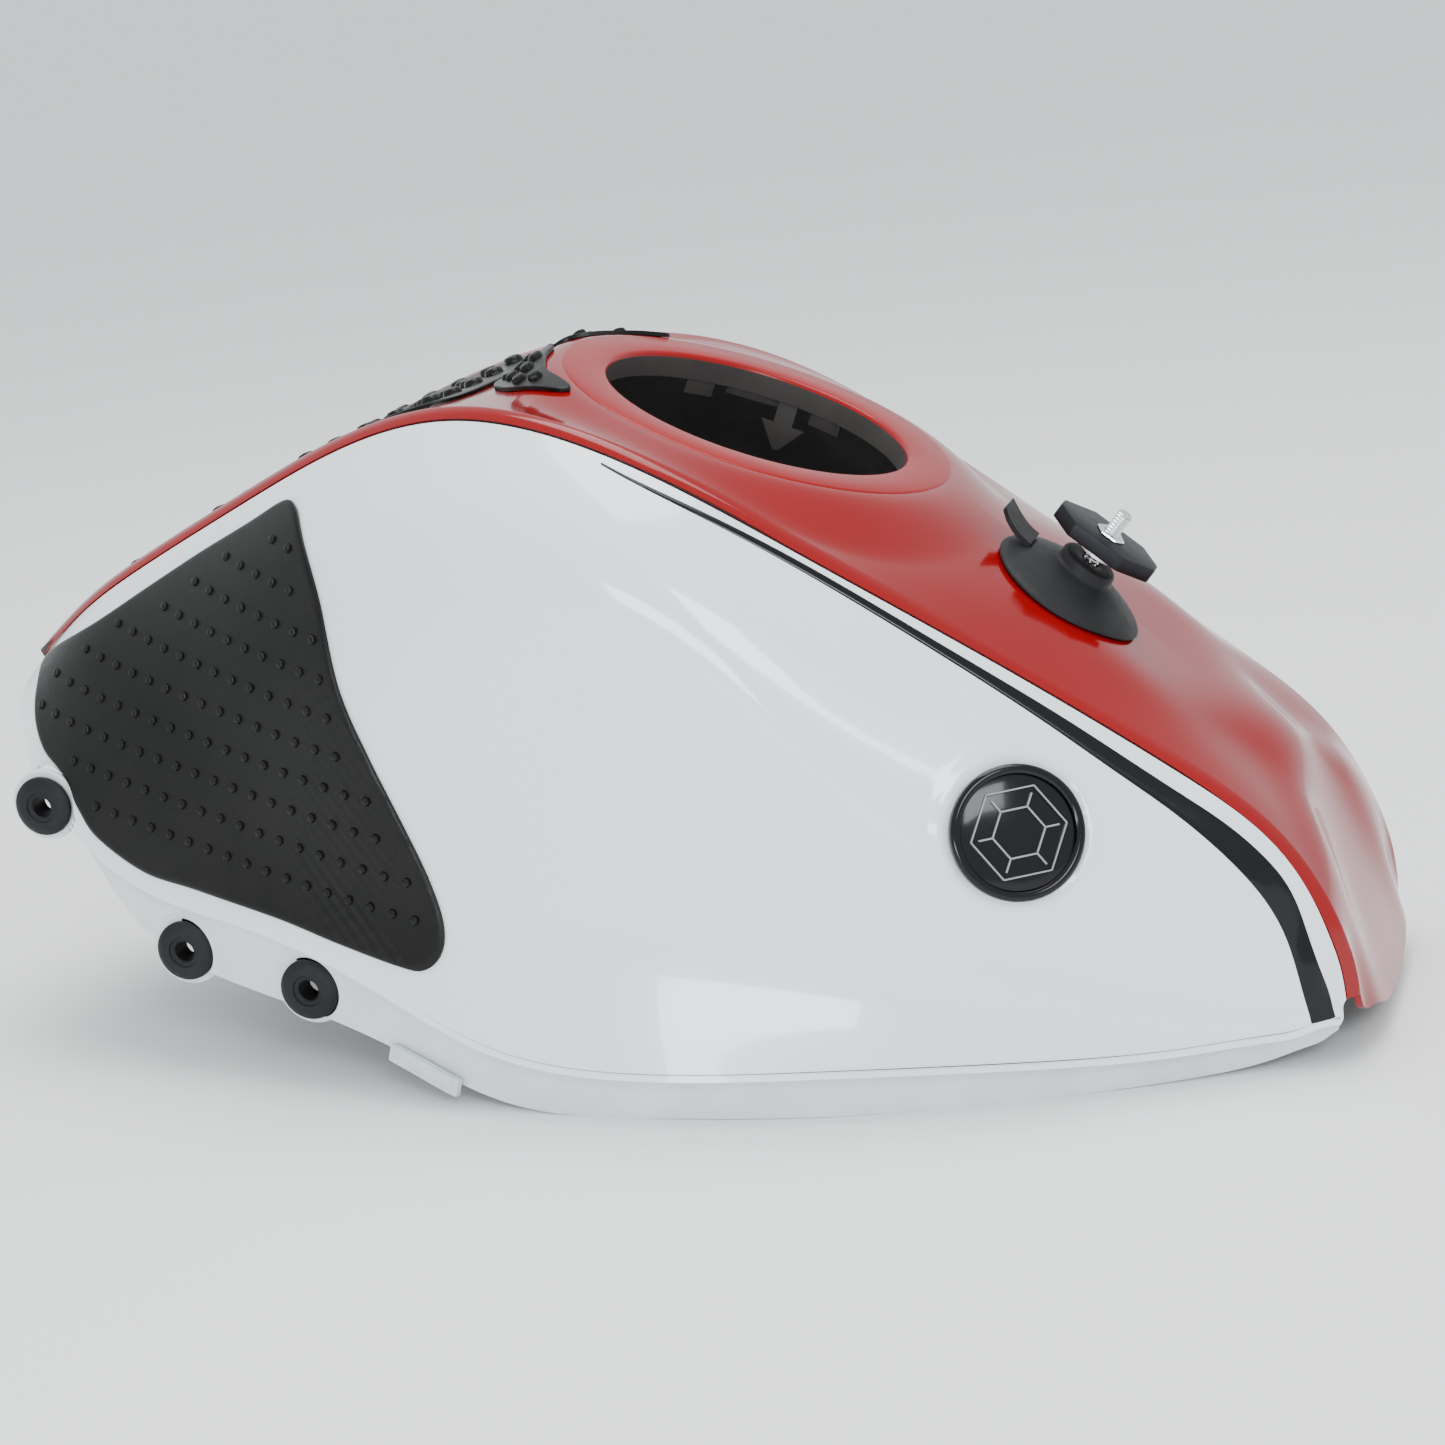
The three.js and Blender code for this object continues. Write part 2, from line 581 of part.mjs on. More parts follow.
// ---- suction mount ------------------------------------------------------------------------------
const cupSpot = dropOnCentre(CUP.x, CUP.y, 1, 8.2);
const cupFrame = placement(cupSpot.p, cupSpot.normal);
const cupInverse = cupFrame.clone().invert();

// Height of the cover's skin under a point of the cup, measured along the cup's axis.
function sagAt(x, y) {
  const start = new THREE.Vector3(x, y, 0).applyMatrix4(cupFrame);
  const { p } = dropOnCentre(start.x, start.y, 1, 8.2);
  return p.applyMatrix4(cupInverse).z;
}

function cupGeometry() {
  const { radius, bossRadius, bossTop } = CUP;
  const cup = turned([
    [0, 1.2], [12, 1.2], [20, 1.2], [radius, 1], [radius, 2], [24, 4], [17, 6.5], [bossRadius + 1.5, 8],
    [bossRadius, bossTop - 1.5], [bossRadius - 1.5, bossTop], [0, bossTop],
  ], 36);
  const position = cup.getAttribute('position');
  for (let i = 0; i < position.count; i++) {
    const [x, y, z] = [position.getX(i), position.getY(i), position.getZ(i)];
    const share = THREE.MathUtils.smoothstep(Math.hypot(x, y), bossRadius - 2, radius - 6);
    if (share > 0) {
      position.setZ(i, z + Math.min(sagAt(x, y), 0) * share);
    }
  }
  return cup;
}

function cupWithLug() {
  const lug = new THREE.BoxGeometry(16, 15, 2.6).translate(-29, 5, 3.5);
  const socket = cylinder(STUD.radius + GAP, STUD.from - 0.5, 20, 24);
  return solid(cupGeometry()).add(solid(lug)).subtract(solid(socket));
}

function thumbPlateGeometry() {
  const { length, width, thickness, bore } = THUMB;
  const outline = new THREE.Shape([
    [-0.5, -0.16], [-0.3, -0.5], [0.22, -0.5], [0.5, -0.1], [0.5, 0.16], [0.3, 0.5], [-0.22, 0.5], [-0.5, 0.1],
  ].map(([x, y]) => new THREE.Vector2(x * length, y * width)));
  outline.holes.push(new THREE.Path().absarc(0, 0, bore, 0, 2 * Math.PI, true));
  const bevel = { bevelEnabled: true, bevelThickness: 1, bevelSize: 1, bevelOffset: -1, bevelSegments: 1 };
  return new THREE.ExtrudeGeometry(outline, { depth: thickness - 2, curveSegments: 24, ...bevel }).translate(0, 0, 1);
}

addNode('suction_cup', onto(geometryOf(cupWithLug()), cupFrame), 'softRubber');
addNode('threaded_stud', onto(cylinder(STUD.radius, STUD.from, STUD.to, 24), cupFrame), 'chrome');
const washer = turned([[WASHER.bore, 0], [WASHER.radius, 0], [WASHER.radius, WASHER.thickness],
  [WASHER.bore, WASHER.thickness]], 32);
addNode('nut_washer', onto(washer.translate(0, 0, WASHER.z), cupFrame), 'chrome');
addNode('thumb_plate', onto(thumbPlateGeometry().translate(0, 0, THUMB.z), cupFrame), 'blackMetal');

export default group;
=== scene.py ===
"""Motorcycle tank cover set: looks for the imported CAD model. Tables are in millimetres, meshes in metres."""

import math

import bmesh
import bpy
import numpy as np
from mathutils import Matrix, Vector


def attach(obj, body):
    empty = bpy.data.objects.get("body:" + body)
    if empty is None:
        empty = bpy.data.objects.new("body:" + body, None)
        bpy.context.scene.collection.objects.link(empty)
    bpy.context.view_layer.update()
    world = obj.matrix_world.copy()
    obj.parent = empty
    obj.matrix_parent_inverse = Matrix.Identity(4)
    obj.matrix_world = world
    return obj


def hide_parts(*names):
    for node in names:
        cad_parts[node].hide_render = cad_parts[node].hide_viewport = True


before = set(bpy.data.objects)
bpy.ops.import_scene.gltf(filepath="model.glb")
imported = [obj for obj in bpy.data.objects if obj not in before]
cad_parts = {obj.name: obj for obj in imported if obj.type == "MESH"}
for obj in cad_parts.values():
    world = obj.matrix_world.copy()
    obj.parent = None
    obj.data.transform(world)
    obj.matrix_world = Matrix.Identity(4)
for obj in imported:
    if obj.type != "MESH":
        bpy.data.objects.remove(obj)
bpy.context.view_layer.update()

MM = 0.001
WALL = 2.5
FILLER = {"x": 46.0, "z": 234.0, "radius": 59.0, "pitch": math.radians(23.4), "depth": 10.0}
COLLAR = {"radius": 76.0, "fade": 26.0}
SEAM_LIP = {"width": 12.0, "inset": 1.5, "step": 4.8}
ROLLED_EDGE = {"inset": 5.0, "rise": 4.5}
PAD_LIFT, PAD_THICKNESS = 0.3, 1.6
GROMMET_AXIS = np.array([0.0, 1.0, 0.0])
CUP = {"x": 164.0, "y": -20.0, "radius": 30.0}

# Control rows of the covers, [x, half width, z], from the tail tip to the foot of the nose.
SEAM = [[-272, 4, 149], [-240, 19, 172], [-205, 30, 191], [-150, 47, 217], [-90, 67, 242],
        [-40, 85, 251], [20, 100, 238], [85, 98, 200], [150, 87, 155], [210, 78, 111],
        [240, 75, 84], [251, 73, 65], [257, 72, 48], [260, 71, 35], [261, 71, 25]]
RIDGE = [[-272, 12, 146], [-242, 31, 163], [-204, 42, 180], [-148, 62, 203], [-90, 84, 226],
         [-42, 104, 233], [18, 121, 218], [86, 128, 142], [148, 118, 76], [203, 100, 50],
         [232, 87, 37], [244, 81, 34], [252, 78, 30], [256, 75, 27], [260, 72, 23]]
MIDDLE = [[-268, 36, 134], [-243, 52, 130], [-204, 68, 130], [-147, 88, 130], [-88, 109, 140],
          [-42, 119, 150], [14, 124, 145], [84, 126, 105], [148, 115, 60], [204, 98, 38],
          [233, 86, 29], [245, 81, 28], [252, 78, 26], [256, 76, 24], [260, 73, 21]]
FLARE = [[-260, 48, 121], [-242, 61, 107], [-204, 76, 94], [-148, 95, 84], [-88, 112, 74],
         [-38, 121, 66], [16, 125, 60], [84, 122, 58], [148, 110, 43], [205, 94, 27],
         [234, 84, 21], [245, 80, 22], [252, 78, 22], [256, 76, 21], [260, 74, 19]]
CREASE = [[-257, 53, 113], [-239, 65, 97], [-205, 79, 75], [-150, 99, 64], [-90, 117, 45],
          [-40, 131, 25], [20, 137, 18], [85, 133, 18], [150, 116, 15], [206, 96, 13],
          [235, 85, 14], [246, 81, 15], [253, 78, 17], [256, 76, 17], [259, 75, 17]]
FLANGE = [[-254, 49, 108], [-236, 61, 92], [-205, 76, 56], [-150, 92, 35], [-90, 108, 19],
          [-40, 122, 3], [20, 128, 0.2], [85, 124, 0.2], [150, 107, 0], [208, 86, 1],
          [235, 75, 4], [246, 71, 7], [252, 69, 9], [255, 68, 11], [257, 67, 12]]
TUCK_DEPTH = [2, 3, 4, 5, 7, 8, 8, 8, 8, 8, 7, 7, 6, 5, 4]
CREST = [[-272, 149.5], [-240, 172.5], [-205, 190], [-150, 216], [-90, 241],
         [-40, 253], [20, 237], [85, 206], [150, 177.5], [208, 126]]
NOSE_ROWS = [
    (0.0, [[240, 0, 100], [247, 0, 81], [255, 0, 57], [265, 0, 33], [271.5, 0, 10]]),
    (0.35, [[236, 20, 101], [247, 26, 83], [255, 31, 60], [263, 36, 37], [271, 39, 11]]),
    (0.6, [[233, 29, 100], [250, 37, 81], [260, 43, 57], [265, 47, 37], [269, 51, 17]]),
    (0.82, [[238, 55, 93], [252, 59, 74], [260, 61, 53], [263, 61, 35], [266, 60, 16]]),
]
ARCH_POWER = 2.2

# Outlines of the skins: [x, z] in side view, or [x, y] in plan.
KNEE_PAD = [[-257, 155], [-224, 171], [-197, 185], [-169, 199], [-141, 212], [-122, 221], [-114.5, 220],
            [-109.5, 213], [-98, 190], [-91, 158], [-81, 133], [-71, 110], [-62, 88], [-57.5, 71],
            [-59.5, 60], [-67, 54], [-78, 55], [-104, 61.5], [-132, 69], [-170, 76], [-197, 80.5],
            [-220, 92], [-229, 102], [-238, 115], [-249, 123], [-256, 134], [-258.5, 146]]
CENTRE_PAD = [[-267, 2.5], [-240, 12], [-205, 21], [-150, 35], [-90, 48], [-66, 52], [-58, 49], [-56, 36],
              [-55, 0]]
WING = [[-30, 9], [-26, 26], [-19, 44], [-6, 58], [-14, 59.5], [-32, 48], [-46, 32], [-50, 9]]
STRIPE_TOP = [[19, 236.4], [54, 217.7], [93, 192.7], [132, 164.4], [171, 135.4], [210, 104.8],
              [223, 94.5], [235, 82.5], [244, 69], [250, 50.5], [255.5, 30], [257.5, 20]]
STRIPE_BOTTOM = [[19, 235.8], [54, 216], [93, 190], [132, 161], [165, 135], [190, 114],
                 [206, 100.5], [222, 85], [235, 68], [241.5, 54], [246.5, 35], [249.5, 19]]


# ---- splines and surfaces, worked out for many points at once ---------------------------------
def smoothstep(value, low, high):
    t = np.clip((value - low) / (high - low), 0, 1)
    return t * t * (3 - 2 * t)


def spline(points):
    """Natural cubic spline through points stacked on the first axis; returns what evaluate() needs."""
    p = np.asarray(points, float)
    n = len(p)
    h = np.maximum(np.linalg.norm(np.diff(p, axis=0), axis=-1), 0.01)[..., None]
    slope = np.diff(p, axis=0) / h
    second = np.zeros_like(p)
    factor = np.zeros(p.shape[:-1] + (1,))
    for i in range(1, n - 1):
        pivot = 2 * (h[i - 1] + h[i]) - h[i - 1] * factor[i - 1]
        factor[i] = h[i] / pivot
        second[i] = (6 * (slope[i] - slope[i - 1]) - h[i - 1] * second[i - 1]) / pivot
    for i in range(n - 2, 0, -1):
        second[i] -= factor[i] * second[i + 1]
    return p, second, h


def evaluate(curve, at):
    """Points of one curve at parameters `at`, or of a stack of curves, one parameter each."""
    p, second, h = curve
    at = np.atleast_1d(np.asarray(at, float))
    i = np.clip(np.floor(at).astype(int), 0, len(p) - 2)
    b = (at - i)[:, None]
    a = 1 - b
    if p.ndim == 2:
        p0, p1, m0, m1, step = p[i], p[i + 1], second[i], second[i + 1], h[i]
    else:
        k = np.arange(len(at))
        p0, p1, m0, m1, step = p[i, k], p[i + 1, k], second[i, k], second[i + 1, k], h[i, k]
    return a * p0 + b * p1 + ((a**3 - a) * m0 + (b**3 - b) * m1) * step**2 / 6


def surface(rows):
    curves = [spline(row) for row in rows]
    return lambda u, t: evaluate(spline(np.stack([evaluate(c, t) for c in curves])), u)


side_surface = surface([SEAM, RIDGE, MIDDLE, FLARE, CREASE])
seam_line = spline(SEAM)
flange_line = spline(FLANGE)
tuck_line = spline([[x, w - TUCK_DEPTH[i], z - (2 if i < 4 else -1)] for i, (x, w, z) in enumerate(CREASE)])


def rim_inset(w):
    return min(ROLLED_EDGE["inset"], w * 0.4)


def arch_row(fraction, nose):
    row = []
    for (x, z), (sx, w, sz) in zip(CREST, SEAM):
        rim = sz + ROLLED_EDGE["rise"]
        row.append([x + (sx - x) * fraction, (w - rim_inset(w)) * fraction,
                    z + (rim - z) * fraction**ARCH_POWER])
    return row + nose


def rim_row():
    row = []
    for i, (x, w, z) in enumerate(SEAM):
        nose = float(smoothstep(i, 9, 12))
        rise = ROLLED_EDGE["rise"]
        row.append([x + rise * nose, w - rim_inset(w), z + rise * (1 - nose)])
    return row


arch_surface = surface([arch_row(fraction, nose) for fraction, nose in NOSE_ROWS] + [rim_row()])


def collar_distance(p):
    return np.hypot((p[:, 0] - FILLER["x"]) / math.cos(FILLER["pitch"]), p[:, 1])


def centre_surface(u, t):
    p = arch_surface(u, t)
    away = smoothstep(collar_distance(p), COLLAR["radius"], COLLAR["radius"] + COLLAR["fade"])
    plane = FILLER["z"] - (p[:, 0] - FILLER["x"]) * math.tan(FILLER["pitch"])
    p[:, 2] += (plane - 0.6 - p[:, 2]) * (1 - away)
    return p


def normals(surf, u, t):
    step = 1e-3
    du = surf(u + step, t) - surf(u - step, t)
    dt = surf(u, t + step) - surf(u, t - step)
    n = np.cross(dt, du)
    return n / np.linalg.norm(n, axis=1)[:, None]


def find(surf, targets, axes):
    """Parameters (u, t) where the surface, seen along the remaining axis, meets the target points."""
    gu, gt = [g.ravel() for g in np.meshgrid(np.linspace(0, 4, 41), np.linspace(0, 14, 141))]
    coarse = surf(gu, gt)[:, axes]
    nearest = [np.argmin(((coarse - p)**2).sum(1)) for p in targets]
    u, t = gu[nearest].copy(), gt[nearest].copy()
    step = 1e-3
    for _ in range(8):
        p = surf(u, t)[:, axes]
        du = (surf(u + step, t)[:, axes] - p) / step
        dt = (surf(u, t + step)[:, axes] - p) / step
        miss = targets - p
        det = du[:, 0] * dt[:, 1] - du[:, 1] * dt[:, 0]
        det = np.where(np.abs(det) < 1e-6, 1e-6, det)
        u = np.clip(u + np.clip((miss[:, 0] * dt[:, 1] - miss[:, 1] * dt[:, 0]) / det, -0.3, 0.3), -0.05, 4.1)
        t = np.clip(t + np.clip((miss[:, 1] * du[:, 0] - miss[:, 0] * du[:, 1]) / det, -0.5, 0.5), 0, 14)
    return u, t


def on_side(xz, lift=0.0):
    """Points and normals of the left side cover's skin at [x, z] seen from the side."""
    u, t = find(side_surface, np.asarray(xz, float), [0, 2])
    n = normals(side_surface, u, t)
    return side_surface(u, t) + n * np.reshape(lift, (-1, 1)), n


def on_centre(xy, lift=0.0):
    """Points and normals of the centre cover's skin at [x, y] seen from above."""
    xy = np.asarray(xy, float)
    u, t = find(centre_surface, np.c_[xy[:, 0], np.abs(xy[:, 1])], [0, 1])
    p, n = centre_surface(u, t), normals(centre_surface, np.maximum(u, 0.02), t)
    side = np.where(xy[:, 1] < 0, -1.0, 1.0)
    p[:, 1] *= side
    n[:, 1] *= side
    return p + n * np.reshape(lift, (-1, 1)), n


# ---- meshes ------------------------------------------------------------------------------------
class Build:
    """Collects vertices and faces in millimetres, with a material number for each face."""

    def __init__(self):
        self.vertices, self.faces, self.numbers = [], [], []

    def add(self, vertices, faces, number=0):
        base = len(self.vertices)
        self.vertices.extend(np.asarray(vertices, float).reshape(-1, 3).tolist())
        self.faces.extend([[base + i for i in face] for face in faces])
        self.numbers.extend([number] * len(faces))
        return self

    def mesh(self, name, materials, mirror=False, sharp=35):
        co = np.array(self.vertices) * MM
        faces = self.faces
        if mirror:
            co = co * [1, -1, 1]
            faces = [face[::-1] for face in faces]
        data = bpy.data.meshes.new(name)
        data.from_pydata(co.tolist(), [], faces)
        data.polygons.foreach_set("material_index", self.numbers)
        data.polygons.foreach_set("use_smooth", [True] * len(faces))
        data.set_sharp_from_angle(angle=math.radians(sharp))
        obj = bpy.data.objects.new(name, data)
        bpy.context.scene.collection.objects.link(obj)
        for material in materials:
            data.materials.append(material)
        return obj


def quads(m, n, base=0, wrap=False):
    faces = []
    for i in range(m - 1):
        for j in range(n if wrap else n - 1):
            k = (j + 1) % n
            faces.append([base + i * n + j, base + i * n + k, base + (i + 1) * n + k, base + (i + 1) * n + j])
    return faces


def offset_grid(rows, distance):
    """The grid moved along its normals, mitred at folds; the normal is column direction x row direction."""
    d1 = rows[1:, 1:] - rows[:-1, :-1]
    d2 = rows[:-1, 1:] - rows[1:, :-1]
    face = np.cross(d2, d1)
    face /= np.maximum(np.linalg.norm(face, axis=2), 1e-9)[..., None]
    total = np.zeros_like(rows)
    corners = [(slice(0, -1), slice(0, -1)), (slice(1, None), slice(0, -1)),
               (slice(0, -1), slice(1, None)), (slice(1, None), slice(1, None))]
    for corner in corners:
        total[corner] += face
    mean = total / np.maximum(np.linalg.norm(total, axis=2), 1e-9)[..., None]
    tight = np.ones(rows.shape[:2])
    for corner in corners:
        tight[corner] = np.minimum(tight[corner], (face * mean[corner]).sum(2))
    return rows + mean * (distance / np.maximum(tight, 0.75))[..., None]


def add_shell(build, top, thickness, outer=0, inner=1):
    m, n = top.shape[:2]
    under = offset_grid(top, -thickness)
    base = len(build.vertices)
    build.add(np.concatenate([top.reshape(-1, 3), under.reshape(-1, 3)]), [])
    build.faces.extend(quads(m, n, base))
    build.numbers.extend([outer] * ((m - 1) * (n - 1)))
    build.faces.extend([face[::-1] for face in quads(m, n, base + m * n)])
    build.numbers.extend([inner] * ((m - 1) * (n - 1)))
    loop = [j for j in range(n)] + [i * n + n - 1 for i in range(1, m)]
    loop += [(m - 1) * n + j for j in range(n - 2, -1, -1)] + [i * n for i in range(m - 2, 0, -1)]
    for a, b in zip(loop, loop[1:] + loop[:1]):
        build.faces.append([base + b, base + a, base + m * n + a, base + m * n + b])
        build.numbers.append(outer)


def add_turned(build, profile, frame_at, segments=64, number=0, closed=False, shape=None):
    """A turned surface from a [radius, z] profile about the frame's Z axis."""
    profile = np.array(profile + profile[:1] if closed else profile, float)
    angle = np.linspace(0, 2 * math.pi, segments, endpoint=False)
    ring = np.stack([np.outer(profile[:, 0], np.cos(angle)), np.outer(profile[:, 0], np.sin(angle)),
                     np.repeat(profile[:, 1:], segments, axis=1)], axis=-1)
    if shape is not None:
        ring = shape(ring)
    build.add(place(ring.reshape(-1, 3), frame_at), quads(len(profile), segments, wrap=True), number)


def frame_along(origin, axis):
    """A placing matrix whose Z axis is `axis`, turned the shortest way from upright."""
    turn = Vector((0, 0, 1)).rotation_difference(Vector(axis))
    return Matrix.Translation(Vector(origin)) @ turn.to_matrix().to_4x4()


def place(points, matrix):
    m = np.array(matrix)
    return points @ m[:3, :3].T + m[:3, 3]


def finish_piece(obj, body, slot, *nodes):
    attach(obj, body)
    if nodes:
        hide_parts(*nodes)
    return obj


def cut(obj, build):
    """Cuts the closed shape in `build` out of a mesh, and applies it."""
    tool = build.mesh("cutter", [])
    modifier = obj.modifiers.new("cut", "BOOLEAN")
    modifier.operation = "DIFFERENCE"
    modifier.solver = "EXACT"
    modifier.object = tool
    evaluated = obj.evaluated_get(bpy.context.evaluated_depsgraph_get())
    data = bpy.data.meshes.new_from_object(evaluated)
    obj.modifiers.clear()
    obj.data = data
    bpy.data.objects.remove(tool)


def drum(radius, low, high, frame_at, segments=64):
    build = Build()
    add_turned(build, [[0.001, low], [radius, low], [radius, high], [0.001, high]], frame_at, segments)
    return build


# ---- materials ---------------------------------------------------------------------------------
class Look:
    """A procedural material: object-space coordinates feed noise that varies colour, roughness and bump."""

    def __init__(self, name, colour, roughness, metallic=0.0, coat=0.0):
        self.material = bpy.data.materials.new(name)
        self.material.use_nodes = True
        self.tree = self.material.node_tree
        self.nodes, self.links = self.tree.nodes, self.tree.links
        self.shader = self.nodes["Principled BSDF"]
        self.set(**{"Base Color": (*colour, 1), "Roughness": roughness, "Metallic": metallic})
        self.set(**{"Coat Weight": coat, "Coat Roughness": 0.04})
        self.colour = colour
        self.coordinates = self.nodes.new("ShaderNodeTexCoord").outputs["Object"]

    def set(self, **values):
        for socket, value in values.items():
            self.shader.inputs[socket].default_value = value

    def noise(self, scale, detail=4.0, stretch=(1, 1, 1)):
        mapping = self.nodes.new("ShaderNodeMapping")
        mapping.inputs["Scale"].default_value = stretch
        self.links.new(self.coordinates, mapping.inputs["Vector"])
        node = self.nodes.new("ShaderNodeTexNoise")
        node.inputs["Scale"].default_value = scale
        node.inputs["Detail"].default_value = detail
        self.links.new(mapping.outputs["Vector"], node.inputs["Vector"])
        return node.outputs["Fac"]

    def ramp(self, fac, low, high, at=(0.35, 0.65)):
        node = self.nodes.new("ShaderNodeValToRGB")
        for element, position, colour in zip(node.color_ramp.elements, at, (low, high)):
            element.position = position
            element.color = (*colour, 1)
        self.links.new(fac, node.inputs["Fac"])
        return node.outputs["Color"]

    def vary_colour(self, scale, low, high, **noise):
        colours = [tuple(c * share for c in self.colour) for share in (low, high)]
        self.links.new(self.ramp(self.noise(scale, **noise), *colours), self.shader.inputs["Base Color"])
        return self

    def vary_roughness(self, scale, low, high, **noise):
        node = self.nodes.new("ShaderNodeMapRange")
        node.inputs["To Min"].default_value = low
        node.inputs["To Max"].default_value = high
        self.links.new(self.noise(scale, **noise), node.inputs["Value"])
        self.links.new(node.outputs["Result"], self.shader.inputs["Roughness"])
        return self

    def bump(self, scale, strength, distance, **noise):
        node = self.nodes.new("ShaderNodeBump")
        node.inputs["Strength"].default_value = strength
        node.inputs["Distance"].default_value = distance
        self.links.new(self.noise(scale, **noise), node.inputs["Height"])
        self.links.new(node.outputs["Normal"], self.shader.inputs["Normal"])
        return self


red = Look("red_gloss", (0.24, 0.0, 0.0012), 0.2, coat=0.35).vary_colour(9, 0.94, 1.03)
red.vary_roughness(40, 0.13, 0.2).bump(3.0, 0.04, 0.004, detail=1.0)
red_ring = Look("red_ring", (0.27, 0.0, 0.0016), 0.36, coat=0.1).vary_colour(14, 0.93, 1.05)
red_ring.vary_roughness(300, 0.26, 0.36)
white = Look("white_gloss", (0.80, 0.86, 0.89), 0.17, coat=0.8).vary_colour(6, 0.985, 1.01)
white.vary_roughness(30, 0.14, 0.2).bump(4.0, 0.03, 0.004, detail=1.0)
white_matte = Look("white_flange", (0.70, 0.73, 0.74), 0.55).vary_colour(60, 0.93, 1.02)
white_matte.vary_roughness(200, 0.45, 0.62).bump(900, 0.15, 0.0002)
# Inner faces, filler bore, rim tabs and snap hook: this near-black colour is painted shade for the unlit
# inside of the hollow covers.
painted_shade_inside = Look("moulded_inside_painted_shade", (0.045, 0.040, 0.037), 0.62).vary_colour(25, 0.8, 1.25)
painted_shade_inside.vary_roughness(80, 0.5, 0.72).bump(700, 0.2, 0.0003)
grip = Look("grip_rubber", (0.0035, 0.0035, 0.0028), 0.3).vary_colour(50, 0.8, 1.3)
grip.vary_roughness(160, 0.2, 0.42).bump(900, 0.25, 0.0003)
gloss = Look("black_gloss", (0.003, 0.003, 0.004), 0.12, coat=0.15).vary_roughness(120, 0.09, 0.16)
soft = Look("soft_rubber", (0.010, 0.010, 0.011), 0.5).vary_colour(70, 0.8, 1.25)
soft.vary_roughness(240, 0.45, 0.66).bump(1200, 0.2, 0.0002)
foam = Look("pale_foam", (0.62, 0.68, 0.72), 0.7).vary_colour(200, 0.9, 1.05).bump(1500, 0.4, 0.0004)
steel = Look("bright_steel", (0.74, 0.75, 0.77), 0.18, metallic=1.0).vary_roughness(400, 0.12, 0.28)
black_metal = Look("black_metal", (0.020, 0.021, 0.024), 0.36, metallic=0.7)
black_metal.vary_roughness(180, 0.26, 0.48, stretch=(1, 12, 1)).bump(260, 0.3, 0.0002, stretch=(1, 12, 1))
for dull in (red, red_ring, grip, gloss, soft, black_metal):
    dull.set(**{"Specular IOR Level": 0.22})
relief = Look("relief_silver", (0.30, 0.30, 0.31), 0.3, metallic=0.6).vary_roughness(300, 0.22, 0.4)


# ---- side covers -------------------------------------------------------------------------------
BADGE = {"u": 0.62, "t": 8.17, "radius": 24.0}
GROMMETS = {"front": (tuck_line, 3.43, 17.0), "middle": (tuck_line, 2.43, 17.0),
            "rear": (spline(CREASE), 0.75, -4.0)}
badge_point = side_surface(BADGE["u"], [BADGE["t"]])[0]
badge_normal = normals(side_surface, BADGE["u"], np.array([BADGE["t"]]))[0]
badge_frame = frame_along(badge_point, badge_normal)


def grommet_centre(line, t, down):
    skirt = (evaluate(flange_line, t) - evaluate(tuck_line, t))[0]
    return evaluate(line, t)[0] + skirt / np.linalg.norm(skirt) * down - GROMMET_AXIS * 1.8


def side_rows(stations):
    nose = smoothstep(stations, 9, 12)[:, None]
    seam = evaluate(seam_line, stations)
    rows = []
    for inset in (SEAM_LIP["width"], 6.0, SEAM_LIP["inset"]):
        lip = seam.copy()
        lip[:, 1] = np.maximum(lip[:, 1] - inset * np.minimum(1, lip[:, 1] / 40), 0.6)
        lip -= np.hstack([nose, 0 * nose, 1 - nose]) * SEAM_LIP["step"]
        rows.append(lip)
    shares = np.concatenate([[0, 0.015, 0.04], np.linspace(0.08, 3.9, 88), [3.95, 3.98, 4.0]])
    for u in shares:
        p = side_surface(np.full(len(stations), u), stations)
        n = normals(side_surface, np.full(len(stations), u), stations)
        far = np.linalg.norm(p - badge_point, axis=1)
        rim = 1.0 * (smoothstep(far, 24.2, 26.0) * (1 - smoothstep(far, 27.0, 31.5))) - 0.5 * (far < 24.2)
        rows.append(p + n * rim[:, None])
    tuck, flange = evaluate(tuck_line, stations), evaluate(flange_line, stations)
    crease = rows[-1]
    for share in (0.1, 0.5, 0.9):
        rows.append(crease + (tuck - crease) * share)
    for share in (0.0, 0.06, 0.35, 0.65, 0.95, 1.0):
        rows.append(tuck + (flange - tuck) * share)
    return np.stack(rows)


# Stations are closer together around the badge, between 7.4 and 9.
side_stations = np.concatenate([np.linspace(0, 7.4, 130, endpoint=False),
                                np.linspace(7.4, 9, 60, endpoint=False), np.linspace(9, 14, 80)])
side_build = Build()
grid = side_rows(side_stations)
add_shell(side_build, grid, WALL)
# Material 1, on the covers' inner faces, is the near-black painted shade.
cover_materials = [white.material, painted_shade_inside.material, white_matte.material]
MATTE = 2
SKIRT_ROWS = 9
row_faces = grid.shape[1] - 1
for k in range((grid.shape[0] - SKIRT_ROWS) * row_faces, (grid.shape[0] - 1) * row_faces):
    side_build.numbers[k] = MATTE


def lug(centre):
    """The flat round lug that carries a grommet."""
    build = Build()
    add_turned(build, [[8.4, -1.4], [13.8, -1.4], [14.4, -0.9], [14.4, 0.9], [13.8, 1.4], [8.4, 1.4]],
               frame_along(centre, GROMMET_AXIS), 48, 2, closed=True)
    return build


def clear_faces(obj, centre, radius):
    """Leaves out the faces that reach into the round pocket of a grommet on the skin's edge."""
    bm = bmesh.new()
    bm.from_mesh(obj.data)
    inside_pocket = [f for f in bm.faces if any(
        math.hypot(v.co.x / MM - centre[0], v.co.z / MM - centre[2]) < radius
        and abs(v.co.y / MM - centre[1]) < 40 for v in f.verts)]
    bmesh.ops.delete(bm, geom=inside_pocket, context="FACES")
    bm.to_mesh(obj.data)
    bm.free()


